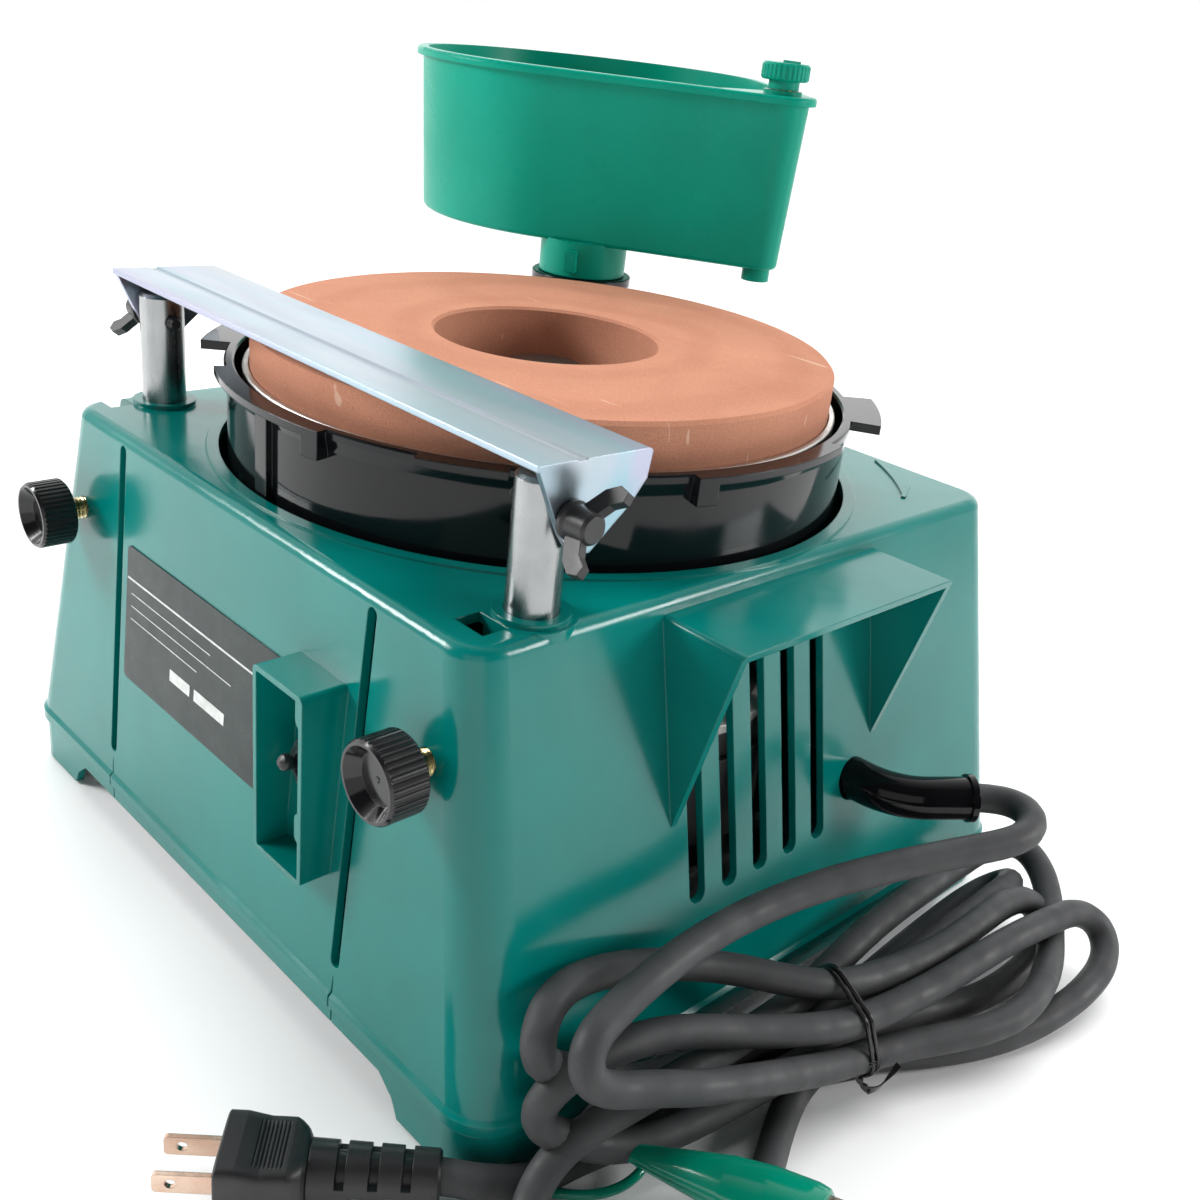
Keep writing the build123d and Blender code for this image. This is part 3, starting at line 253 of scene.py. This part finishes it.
def bare_metal(name, deep, pale, rough_low, rough_high, streak=(1, 1, 1), scratch=0.000004):
    """Metal with a drift of colour and fine streaks along one direction."""
    finish = Finish(name, pale, rough_low, metallic=1.0)
    finish.soften_edges(0.0004)
    finish.shade_between(deep, pale, finish.noise(60, 5))
    streaks = finish.noise(900, 4, finish.stretched(streak))
    finish.roughen(streaks, rough_low, rough_high)
    finish.relief(streaks, scratch)
    return finish


def casing_finish():
    """Glossy deep green of the casing."""
    return moulded("casing_green", (0.0, 0.162, 0.143), (0.0, 0.194, 0.171), 0.14, 0.23,
                   specular_ior_level=0.38)


def tank_finish():
    """Lighter green that shines less than the casing."""
    return moulded("tank_green", (0.0, 0.275, 0.185), (0.0, 0.320, 0.220), 0.26, 0.36, grain=0.000008,
                   specular_ior_level=0.14)


def bowl_finish():
    """Near black with a hard shine."""
    return moulded("bowl_black", (0.004, 0.005, 0.006), (0.007, 0.008, 0.009), 0.07, 0.16, grain=0.000004,
                   specular_ior_level=0.3)


def stone_finish():
    """Fired abrasive: ochre face with faint arcs left by dressing, fine grit and pale scuffs."""
    finish = Finish("stone", (0.52, 0.22, 0.125), 0.92, specular_ior_level=0.2)
    clouds = finish.remap(finish.noise(16, 4, distortion=1.0), 0.3, 0.7)
    body = finish.mix((0.50, 0.220, 0.138), (0.62, 0.290, 0.185), clouds)
    arcs = finish.remap(finish.noise(11, 4, finish.stretched((0.6, 3.2, 1), (0, 0, 0.7)), 0.8), 0.42, 0.66)
    body = finish.mix(body, (0.56, 0.275, 0.172), finish.remap(arcs, 0, 1, 0, 0.55))
    swirls = finish.remap(finish.rings(9, 5.0), 0.55, 0.95)
    body = finish.mix(body, (0.45, 0.190, 0.115), finish.remap(swirls, 0, 1, 0, 0.30))
    grit = finish.remap(finish.noise(2400, 2), 0.35, 0.75, 0, 0.45)
    body = finish.mix(body, (0.24, 0.088, 0.053), grit)
    long_specks = finish.noise(26, 1, finish.stretched((1, 16, 3), (0.3, 0.2, 0.9)), 0.4)
    scuff = finish.remap(long_specks, 0.745, 0.765)
    finish.paint(finish.mix(body, (0.78, 0.58, 0.46), finish.remap(scuff, 0, 1, 0, 0.4)))
    finish.relief(finish.noise(2400, 2), 0.00008)
    finish.relief(finish.noise(500, 3), 0.00004)
    return finish


def zinc_finish():
    """Passivated zinc: steel grey with faint blue, rose and straw bands that run along the sheet."""
    finish = Finish("zinc_steel", (0.60, 0.64, 0.67), 0.3, metallic=1.0)
    finish.soften_edges(0.0006)
    blue = finish.remap(finish.noise(22, 2, finish.stretched((0.12, 1.5, 1.5)), 0.3), 0.40, 0.62)
    rose_bands = finish.noise(30, 2, finish.stretched((0.10, 1.6, 1.6), (0.2, 0, 0)), 0.3)
    rose = finish.remap(rose_bands, 0.50, 0.66)
    straw = finish.remap(finish.noise(30, 1, finish.stretched((0.1, 1, 1))), 0.45, 0.75)
    colour = finish.mix((0.36, 0.41, 0.47), (0.24, 0.39, 0.45), blue)
    colour = finish.mix(colour, (0.40, 0.34, 0.46), finish.remap(rose, 0, 1, 0, 0.55))
    finish.paint(finish.mix(colour, (0.44, 0.43, 0.37), finish.remap(straw, 0, 1, 0, 0.35)))
    finish.roughen(finish.noise(90, 3, finish.stretched((0.2, 1, 1))), 0.30, 0.36)
    return finish


def cord_finish():
    """Matt rubber sheath with patches of dust specks."""
    finish = Finish("cord_rubber", (0.045, 0.046, 0.048), 0.62, specular_ior_level=0.4)
    clouds = finish.remap(finish.noise(70, 4), 0.3, 0.7)
    drift = finish.mix((0.037, 0.038, 0.040), (0.056, 0.057, 0.059), clouds)
    dust = finish.remap(finish.cells(900), 0.08, 0.03)
    patches = finish.remap(finish.noise(60, 2), 0.55, 0.7)
    specks = finish.nodes.new("ShaderNodeMath")
    specks.operation = "MULTIPLY"
    finish.links.new(dust, specks.inputs[0])
    finish.links.new(patches, specks.inputs[1])
    finish.paint(finish.mix(drift, (0.30, 0.30, 0.30), specks.outputs[0]))
    finish.roughen(finish.noise(120, 4), 0.5, 0.7)
    finish.relief(finish.noise(1800, 3), 0.00002)
    return finish


def label_finish():
    """Dark foil of the rating plate."""
    finish = Finish("label", (0.012, 0.022, 0.020), 0.3, specular_ior_level=0.25)
    finish.shade_between((0.010, 0.018, 0.017), (0.016, 0.028, 0.025), finish.noise(40, 3))
    finish.roughen(finish.noise(150, 4), 0.24, 0.36)
    finish.relief(finish.noise(1200, 2), 0.000006)
    return finish


FINISHES = {
    "casing_green": casing_finish(),
    "tank_green": tank_finish(),
    "bowl_black": bowl_finish(),
    "stone": stone_finish(),
    "zinc_steel": zinc_finish(),
    "cord_rubber": cord_finish(),
    "label": label_finish(),
    "black_plastic": moulded("black_plastic", (0.008, 0.008, 0.009), (0.016, 0.016, 0.017), 0.34, 0.48,
                             grain=0.00002, edge=0.0004),
    "black_gloss": moulded("black_gloss", (0.006, 0.006, 0.007), (0.010, 0.010, 0.011), 0.10, 0.2,
                           grain=0.000004, edge=0.0003),
    "sleeve_black": moulded("sleeve_black", (0.004, 0.004, 0.005), (0.008, 0.008, 0.009), 0.06, 0.14,
                            grain=0.000006, edge=0.0004, specular_ior_level=0.25),
    "earth_green": moulded("earth_green", (0.0, 0.19, 0.115), (0.0, 0.23, 0.145), 0.08, 0.16,
                           grain=0.000006, edge=0.0002),
    "rubber": moulded("rubber", (0.016, 0.016, 0.017), (0.028, 0.028, 0.029), 0.6, 0.75, grain=0.00003),
    "pale_metal": bare_metal("pale_metal", (0.62, 0.61, 0.58), (0.76, 0.75, 0.72), 0.36, 0.5,
                             streak=(0.3, 0.3, 4), scratch=0.00001),
    "polished_steel": bare_metal("polished_steel", (0.27, 0.28, 0.28), (0.33, 0.34, 0.34), 0.22, 0.28,
                                 streak=(1, 1, 0.1), scratch=0.0000004),
    "steel": bare_metal("steel", (0.42, 0.43, 0.44), (0.58, 0.59, 0.60), 0.28, 0.42),
    "yellow_zinc": bare_metal("yellow_zinc", (0.50, 0.40, 0.16), (0.68, 0.60, 0.34), 0.22, 0.34,
                              streak=(1, 0.4, 1)),
    "brass": bare_metal("brass", (0.52, 0.36, 0.12), (0.74, 0.54, 0.22), 0.2, 0.32, streak=(2, 2, 0.3)),
    "blade_metal": bare_metal("blade_metal", (0.60, 0.40, 0.30), (0.78, 0.62, 0.50), 0.18, 0.3,
                              streak=(0.5, 0.5, 3)),
    "cast_grey": moulded("cast_grey", (0.10, 0.11, 0.12), (0.16, 0.17, 0.18), 0.5, 0.65, grain=0.00008),
    "motor_black": moulded("motor_black", (0.012, 0.012, 0.013), (0.03, 0.03, 0.032), 0.3, 0.45,
                           grain=0.00003),
}


# ---------------------------------------------------------------- making pieces
def add_piece(name, data, slot, body="base"):
    """Links a piece, gives it its finish, and lets it ride on a body."""
    piece = bpy.data.objects.new(name, data)
    bpy.context.collection.objects.link(piece)
    data.materials.append(FINISHES[slot].material)
    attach(piece, body)
    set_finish(piece, slot)
    return piece


def smooth_curve(name, route, radius, slot):
    """A round cord along one NURBS spline with the route's points as its control points."""
    curve = bpy.data.curves.new(name, "CURVE")
    curve.dimensions = "3D"
    curve.resolution_u = 6
    curve.use_fill_caps = True
    curve.bevel_resolution = 5
    spline = curve.splines.new("NURBS")
    spline.points.add(len(route) - 1)
    for point, place in zip(spline.points, route):
        point.co = (*place, 1)
        point.radius = radius
    spline.use_endpoint_u = True
    spline.order_u = 3
    piece = add_piece(name, curve, slot)
    line = bpy.data.meshes.new_from_object(piece)
    points = [vertex.co.copy() for vertex in line.vertices]
    bpy.data.meshes.remove(line)
    curve.bevel_depth = 1.0
    return piece, points


def as_mesh(piece):
    """Turns a curve piece into the mesh that it shows, under the same name."""
    mesh = bpy.data.meshes.new_from_object(piece)
    name, slot = piece.name, piece["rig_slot"]
    bpy.data.objects.remove(piece)
    mesh.materials.clear()
    for polygon in mesh.polygons:
        polygon.use_smooth = True
    return add_piece(name, mesh, slot)


def loft(name, rings, slot, body="base", capped=True, sharp=radians(40)):
    """A smooth skin over closed rings that all have the same number of points."""
    mesh = bmesh.new()
    rows = [[mesh.verts.new(point) for point in ring] for ring in rings]
    count = len(rows[0])
    for row, following in zip(rows, rows[1:]):
        for i in range(count):
            j = (i + 1) % count
            mesh.faces.new((row[i], row[j], following[j], following[i]))
    if capped:
        mesh.faces.new(reversed(rows[0]))
        mesh.faces.new(rows[-1])
    bmesh.ops.recalc_face_normals(mesh, faces=mesh.faces)
    for face in mesh.faces:
        face.smooth = True
    for edge in mesh.edges:
        edge.smooth = len(edge.link_faces) < 2 or edge.calc_face_angle(0) < sharp
    data = bpy.data.meshes.new(name)
    mesh.to_mesh(data)
    mesh.free()
    return add_piece(name, data, slot, body)


def along(origin, aim, side, over):
    """A function from (distance along, sideways, upwards) to a point."""
    return lambda t, x, z: origin + aim * t + side * x + over * z


def superellipse(half_wide, half_high, squareness, count=64):
    """Points of a rounded box outline; squareness 2 is an ellipse, and more is squarer."""
    points = []
    for i in range(count):
        c, s = cos(2 * pi * i / count), sin(2 * pi * i / count)
        reach = (abs(c) ** squareness + abs(s) ** squareness) ** (-1 / squareness)
        points.append((half_wide * c * reach, half_high * s * reach))
    return points


# ---------------------------------------------------------------- mains lead and earth wire
CORD_R = 0.005
EARTH_R = 0.0015
CORD_ROUTE = [
    # From the sleeve: a bend back on itself, then the run across to the near end.
    (0.1619, 0.0524, 0.0735), (0.1672, 0.0593, 0.0742), (0.1728, 0.066, 0.0744), (0.1792, 0.0698, 0.075),
    (0.1864, 0.069, 0.0755), (0.1916, 0.0638, 0.0753), (0.1934, 0.056, 0.0747), (0.1915, 0.0475, 0.074),
    (0.187, 0.037, 0.0733), (0.1805, 0.0225, 0.0722), (0.1735, 0.006, 0.071), (0.167, -0.012, 0.0696),
    (0.1625, -0.03, 0.0685),
    # Top turn at the near end, and back to the tie.
    (0.1603, -0.048, 0.068), (0.1605, -0.065, 0.0683), (0.1613, -0.08, 0.0676), (0.1626, -0.094, 0.066),
    (0.1637, -0.104, 0.0639), (0.165, -0.111, 0.062), (0.1665, -0.115, 0.059), (0.1684, -0.1166, 0.055),
    (0.1703, -0.115, 0.0508), (0.1722, -0.1095, 0.0468), (0.1765, -0.0955, 0.0426),
    (0.1805, -0.082, 0.0375), (0.1837, -0.0655, 0.0323), (0.1868, -0.047, 0.0265),
    (0.1895, -0.0295, 0.0212), (0.191, -0.013, 0.0172),
    # Wide turn round the far end.
    (0.195, 0.003, 0.0155), (0.2015, 0.017, 0.0155), (0.208, 0.031, 0.016), (0.212, 0.046, 0.017),
    (0.2105, 0.063, 0.018), (0.2045, 0.08, 0.0183), (0.196, 0.0955, 0.0185), (0.1875, 0.1085, 0.0215),
    (0.178, 0.1175, 0.0255), (0.1685, 0.1195, 0.0295), (0.1623, 0.111, 0.032), (0.161, 0.096, 0.0327),
    (0.1612, 0.077, 0.0325), (0.1615, 0.057, 0.032), (0.162, 0.037, 0.0315), (0.163, 0.017, 0.0295),
    (0.165, -0.003, 0.0265), (0.166, -0.018, 0.0245),
    # Return along the wall.
    (0.1663, -0.034, 0.0245), (0.167, -0.05, 0.0255), (0.1675, -0.066, 0.0265), (0.1675, -0.081, 0.0275),
    (0.1665, -0.094, 0.0275), (0.1645, -0.105, 0.0253),
    # Floor loop below the near end.
    (0.1623, -0.1145, 0.021), (0.1618, -0.1225, 0.0145), (0.1655, -0.1305, 0.0083),
    (0.174, -0.1385, 0.0054), (0.186, -0.143, 0.0052), (0.198, -0.142, 0.0052), (0.208, -0.135, 0.0052),
    (0.2137, -0.124, 0.0052), (0.2142, -0.1095, 0.0052), (0.2095, -0.0935, 0.0052),
    (0.203, -0.0775, 0.0052), (0.1955, -0.0625, 0.0052), (0.187, -0.047, 0.0052),
    # Back along the floor and round the far end.
    (0.1805, -0.032, 0.0052), (0.178, -0.017, 0.0052), (0.183, -0.003, 0.0052), (0.192, 0.01, 0.0052),
    (0.2, 0.024, 0.0052), (0.207, 0.039, 0.0054), (0.2125, 0.056, 0.0062), (0.2158, 0.074, 0.0082),
    (0.2166, 0.088, 0.01), (0.2156, 0.1005, 0.0124), (0.212, 0.1086, 0.0156), (0.207, 0.1116, 0.0196),
    (0.2022, 0.1086, 0.0235), (0.1989, 0.101, 0.0264), (0.1974, 0.088, 0.0276), (0.195, 0.069, 0.0282),
    (0.1935, 0.05, 0.0283), (0.1925, 0.031, 0.0283), (0.191, 0.013, 0.0283), (0.1885, -0.004, 0.0283),
    (0.1855, -0.018, 0.029),
    # Second turn at the near end.
    (0.1815, -0.032, 0.0317), (0.1765, -0.046, 0.035), (0.1706, -0.061, 0.0393), (0.1646, -0.077, 0.0435),
    (0.1616, -0.092, 0.046), (0.16, -0.105, 0.0455), (0.158, -0.1155, 0.0418), (0.1566, -0.121, 0.035),
    (0.157, -0.1195, 0.0275), (0.1605, -0.1115, 0.0205), (0.1658, -0.101, 0.015), (0.1703, -0.087, 0.012),
    (0.173, -0.071, 0.0113), (0.175, -0.055, 0.012), (0.1775, -0.04, 0.0133), (0.18, -0.025, 0.015),
    (0.182, -0.01, 0.0163),
    # Inner turn at the far end.
    (0.1835, 0.006, 0.016), (0.186, 0.021, 0.013), (0.1895, 0.0365, 0.009), (0.1925, 0.052, 0.0062),
    (0.1944, 0.068, 0.0056), (0.1947, 0.082, 0.006), (0.1938, 0.0935, 0.0082), (0.1912, 0.0998, 0.012),
    (0.188, 0.1022, 0.017), (0.1848, 0.0998, 0.022), (0.1824, 0.0935, 0.0254), (0.1816, 0.083, 0.0272),
    (0.182, 0.068, 0.0278), (0.1825, 0.049, 0.028), (0.182, 0.03, 0.0288), (0.1803, 0.012, 0.031),
    (0.1778, -0.006, 0.0337),
    # Turn that leans on the wall at the near end.
    (0.173, -0.02, 0.037), (0.1645, -0.0315, 0.04), (0.1558, -0.043, 0.0435), (0.15, -0.057, 0.048),
    (0.147, -0.072, 0.0533), (0.1458, -0.087, 0.0582), (0.146, -0.1015, 0.0618), (0.1487, -0.113, 0.0623),
    (0.1526, -0.12, 0.058), (0.1543, -0.1205, 0.0505), (0.1526, -0.1145, 0.043), (0.1513, -0.1055, 0.0355),
    (0.1528, -0.096, 0.0285), (0.1558, -0.083, 0.021), (0.1575, -0.067, 0.0165), (0.16, -0.05, 0.0148),
    (0.1645, -0.033, 0.0145), (0.169, -0.017, 0.015),
    # Innermost turn at the far end.
    (0.1718, 0.001, 0.016), (0.1732, 0.02, 0.018), (0.174, 0.04, 0.0195), (0.1743, 0.06, 0.021),
    (0.1744, 0.078, 0.0222), (0.1743, 0.093, 0.0228), (0.1734, 0.1034, 0.0222), (0.1708, 0.1089, 0.0196),
    (0.1673, 0.1108, 0.0162), (0.1639, 0.1089, 0.0129), (0.1614, 0.1036, 0.0105), (0.1604, 0.092, 0.0092),
    (0.1603, 0.073, 0.0073), (0.1608, 0.055, 0.006), (0.162, 0.036, 0.0054), (0.164, 0.015, 0.0052),
    (0.166, -0.007, 0.0052),
    # Run to the plug.
    (0.167, -0.028, 0.0052), (0.1667, -0.049, 0.0052), (0.1643, -0.0695, 0.0052), (0.161, -0.088, 0.0052),
    (0.1575, -0.104, 0.0052), (0.1566, -0.1155, 0.0056), (0.1542, -0.126, 0.0076), (0.149, -0.1345, 0.0098),
    (0.142, -0.141, 0.0104), (0.1395, -0.1438, 0.0104),
]
EARTH_ROUTE = [
    (0.1432, -0.147, 0.0054), (0.149, -0.1435, 0.0032), (0.1525, -0.134, 0.002), (0.1532, -0.1245, 0.0018),
    (0.157, -0.118, 0.0022), (0.163, -0.1136, 0.003), (0.1685, -0.1083, 0.0034), (0.1725, -0.0998, 0.004),
    (0.1724, -0.0905, 0.005), (0.1682, -0.0842, 0.0062), (0.1602, -0.081, 0.0076), (0.1532, -0.0828, 0.009),
    (0.1512, -0.0894, 0.0104), (0.1548, -0.0956, 0.0115), (0.1615, -0.0976, 0.012), (0.1688, -0.0958, 0.013),
]


def outer_outline(centres, radius):
    """The tight outline round several circles in a plane, anticlockwise."""
    dots = sorted({(round(x + radius * cos(pi * i / 16), 6), round(z + radius * sin(pi * i / 16), 6))
                   for x, z in centres for i in range(32)})

    def half(run):
        chain = []
        for dot in run:
            while len(chain) > 1:
                (ax, az), (bx, bz) = chain[-2], chain[-1]
                if (bx - ax) * (dot[1] - az) - (bz - az) * (dot[0] - ax) > 0:
                    break
                chain.pop()
            chain.append(dot)
        return chain[:-1]

    return half(dots) + half(reversed(dots))


def make_tie(cord_points):
    """A plastic-coated wire wound twice round the bundle's waist, with twisted ends and flat tails."""
    tie_y, wire_r = -0.014, 0.0007
    crossings = [a.lerp(b, (tie_y - a.y) / (b.y - a.y)) for a, b in zip(cord_points, cord_points[1:])
                 if (a.y - tie_y) * (b.y - tie_y) < 0 and a.z < 0.05]
    outline = outer_outline([(p.x, max(p.z, CORD_R)) for p in crossings], CORD_R + wire_r * 0.6)
    curve = bpy.data.curves.new("twist_tie", "CURVE")
    curve.dimensions = "3D"
    curve.bevel_depth = wire_r
    curve.bevel_resolution = 4
    for shift, lean in ((-0.0009, 0.0006), (0.0007, -0.0004), (0.0021, 0.0010)):
        spline = curve.splines.new("POLY")
        spline.points.add(len(outline) - 1)
        for i, (point, (x, z)) in enumerate(zip(spline.points, outline)):
            sway = lean * sin(2 * pi * i / len(outline) + 1.0)
            point.co = (x, tie_y + shift + sway, max(z, wire_r + 0.0002), 1)
        spline.use_cyclic_u = True
    gather = Vector((0.1962, -0.0150, 0.0200))
    knot = Vector((0.1915, -0.0195, 0.0165))
    elbow = Vector((0.1975, -0.0172, 0.0105))
    turns, steps, twist_r = 3.5, 60, 0.0006
    for phase in (0, pi):
        spline = curve.splines.new("POLY")
        spline.points.add(steps - 1)
        for i, point in enumerate(spline.points):
            share = i / (steps - 1)
            middle = gather.lerp(knot, share * 2) if share < 0.5 else knot.lerp(elbow, share * 2 - 1)
            angle = phase + 2 * pi * turns * share
            swing = Vector((cos(angle), 0.3 * cos(angle), sin(angle))) * twist_r
            point.co = (*(middle + swing), 1)
    tie = as_mesh(add_piece("twist_tie", curve, "black_gloss"))
    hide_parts("hank_tie")

    tails = bpy.data.curves.new("twist_tie_tails", "CURVE")
    tails.dimensions = "3D"
    tails.extrude = 0.0014
    tails.bevel_depth = 0.00025
    tails.bevel_resolution = 2
    for run in (((0.1972, -0.0172, 0.0106), (0.1993, -0.0150, 0.0112), (0.2003, -0.0118, 0.0150),
                 (0.2012, -0.0085, 0.0190)),
                ((0.1915, -0.0195, 0.0165), (0.1900, -0.0212, 0.0150), (0.1878, -0.0228, 0.0146),
                 (0.1850, -0.0240, 0.0142))):
        spline = tails.splines.new("NURBS")
        spline.points.add(len(run) - 1)
        for i, (point, place) in enumerate(zip(spline.points, run)):
            point.co = (*place, 1)
            point.tilt = 0.5 * i
        spline.use_endpoint_u = True
        spline.order_u = 3
    tail_piece = as_mesh(add_piece("twist_tie_tails", tails, "black_gloss"))
    return [tie, tail_piece]


def make_plug():
    """Moulded two-blade plug: ribbed thumb zone, stepped shoulders and a slotted relief."""
    aim = Vector((-0.661, -0.750, 0)).normalized()
    side = UP.cross(aim)
    start = Vector((0.142, -0.141, 0.0104))
    at = along(start, aim, side, UP)
    mm = 0.001

    relief_long = 36.0
    slots_above, slots_below = (8.0, 17.0, 26.0), (3.6, 12.6, 21.6)
    slot_wide, slot_deep, edge = 2.4, 2.6, 0.12
    stations = {0.0, 0.35, 0.8, relief_long}
    for slot in slots_above + slots_below:
        stations |= {slot - edge, slot, slot + slot_wide, slot + slot_wide + edge}
    stations |= {float(t) for t in range(2, int(relief_long), 2)}
    rings = []
    for t in sorted(stations):
        reach = 7.3 + 1.2 * t / relief_long - (0.8 - t) * (t < 0.8)
        ring = []
        for i in range(96):
            angle = 2 * pi * i / 96
            starts = slots_above if sin(angle) > 0.22 else slots_below if sin(angle) < -0.22 else ()
            cut = any(slot <= t <= slot + slot_wide for slot in starts)
            r = reach - slot_deep * cut
            ring.append(at(t * mm, r * cos(angle) * mm, r * 0.97 * sin(angle) * mm))
        rings.append(ring)
    relief = loft("plug_relief_look", rings, "black_plastic")
    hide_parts("plug_relief")

    # Stations of the body: (distance, half width, half height, squareness).
    outline = [(0.0, 7.0, 7.0, 2.2), (0.3, 8.6, 8.0, 2.4), (1.2, 9.8, 8.5, 3.2), (3.4, 11.2, 8.9, 5.0),
               (5.0, 11.7, 9.0, 7.0), (12.0, 11.8, 8.6, 8.0), (15.5, 11.9, 9.4, 8.0), (18.5, 12.0, 9.9, 9.0),
               (23.4, 12.0, 9.9, 9.0), (23.9, 11.7, 9.6, 8.0), (24.0, 11.3, 9.2, 8.0)]
    ribs = (5.6, 14.4, 1.1)
    rings = []
    steps = 160
    for i in range(steps + 1):
        t = 24.0 * i / steps
        before, after = next((a, b) for a, b in zip(outline, outline[1:]) if a[0] <= t <= b[0])
        share = (t - before[0]) / (after[0] - before[0])
        wide, high, square = (a + (b - a) * share for a, b in zip(before[1:], after[1:]))
        in_groove = ribs[0] < t < ribs[1] and (t - ribs[0]) % ribs[2] > 0.6 * ribs[2]
        ring = []
        for x, z in superellipse(wide, high, square, 72):
            if in_groove and abs(x) < 7.5:
                z -= 0.45 if z > 0 else -0.45
            ring.append(at((relief_long + t) * mm, x * mm, z * mm))
        rings.append(ring)
    body = loft("plug_body_look", rings, "black_plastic")
    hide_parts("plug_body")
    return [body, relief, nodes["plug_blades"]]


def make_boot():
    """Soft boot of the earth clip: tapered, a little flattened, with a slit along its sides."""
    aim = Vector((0.930, 0.310, 0.190)).normalized()
    side = UP.cross(aim).normalized()
    over = aim.cross(side)
    at = along(Vector((0.1688, -0.0958, 0.0130)), aim, side, over)
    mm = 0.001
    profile = [(-1.0, 1.6), (-0.8, 2.2), (0.0, 2.6), (4.0, 3.2), (16.0, 5.4), (32.0, 8.2), (44.0, 8.9),
               (56.0, 8.4), (59.2, 7.6), (60.0, 6.6)]
    rings = []
    for i in range(81):
        t = -1.0 + 61.0 * i / 80
        before, after = next((a, b) for a, b in zip(profile, profile[1:]) if a[0] <= t <= b[0] + 1e-9)
        r = before[1] + (after[1] - before[1]) * (t - before[0]) / (after[0] - before[0])
        ring = []
        for k in range(72):
            angle = 2 * pi * k / 72
            slit = 0.5 * max(0.0, 1 - abs(sin(angle)) / 0.09) * (t > 5)
            ring.append(at(t * mm, (r - slit) * cos(angle) * mm, (r - slit) * 0.92 * sin(angle) * mm))
        rings.append(ring)
    boot = loft("earth_boot", rings, "earth_green", sharp=radians(60))
    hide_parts("earth_clip")
    return boot


def make_cords():
    """The mains lead with its bundle, tie and plug, and the earth wire with its booted clip."""
    lead, lead_points = smooth_curve("mains_lead", CORD_ROUTE, CORD_R, "cord_rubber")
    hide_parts("cord_lead", "cord_hank", "cord_loop", "cord_tail")
    tie = make_tie(lead_points)
    plug = make_plug()

    earth, _ = smooth_curve("earth_lead", EARTH_ROUTE, EARTH_R, "earth_green")
    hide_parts("earth_wire")
    boot = make_boot()


# ---------------------------------------------------------------- plate and its rules
def make_plate_marks():
    """Blank rules and boxes on the rating plate, a hair above its face."""
    low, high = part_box("nameplate")
    left, right, bottom = low[0], high[0], low[2]
    slope = 0.0104 / 0.1322                 # how far the casing's front leans back per metre of height
    lift = 0.00012
    # Bars and boxes: start and end from the plate's left edge, then lowest and highest.
    across = right - left
    margin, rule = 0.004, 0.0003
    marks = [(0.001, across - 0.001, 0.0385, 0.0392),
             (0.034, 0.048, 0.0130, 0.0172),
             (0.051, 0.071, 0.0130, 0.0172)]
    for row, end in enumerate((0.060, 0.074, 0.052)):
        marks.append((margin, end, 0.0335 - row * 0.0048, 0.0335 - row * 0.0048 + rule))

    mesh = bmesh.new()
    for start, end, under, over in marks:
        corners = [Vector((left + x, low[1] + z * slope - lift, bottom + z))
                   for x, z in ((start, under), (end, under), (end, over), (start, over))]
        face = mesh.faces.new([mesh.verts.new(corner) for corner in corners])
        solid = bmesh.ops.extrude_face_region(mesh, geom=[face])
        moved = [item for item in solid["geom"] if isinstance(item, bmesh.types.BMVert)]
        bmesh.ops.translate(mesh, verts=moved, vec=(0, 2 * lift, 0))
    bmesh.ops.recalc_face_normals(mesh, faces=mesh.faces)
    data = bpy.data.meshes.new("plate_marks")
    mesh.to_mesh(data)
    mesh.free()
    plate_marks = bpy.data.objects.new("plate_marks", data)
    bpy.context.collection.objects.link(plate_marks)
    ink = Finish("plate_ink", (0.62, 0.64, 0.62), 0.45)
    ink.shade_between((0.55, 0.57, 0.55), (0.70, 0.72, 0.70), ink.noise(260, 4))
    data.materials.append(ink.material)
    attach(plate_marks, "base")
    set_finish(plate_marks, "label")


def finish_nodes():
    """Gives each CAD node the finish of its material slot."""
    for name, node in nodes.items():
        finish = FINISHES[slot_of[name]].material
        for index in range(len(node.data.materials)):
            node.data.materials[index] = finish
        if not node.data.materials:
            node.data.materials.append(finish)


make_camera()
make_studio()
finish_nodes()
make_cords()
make_plate_marks()
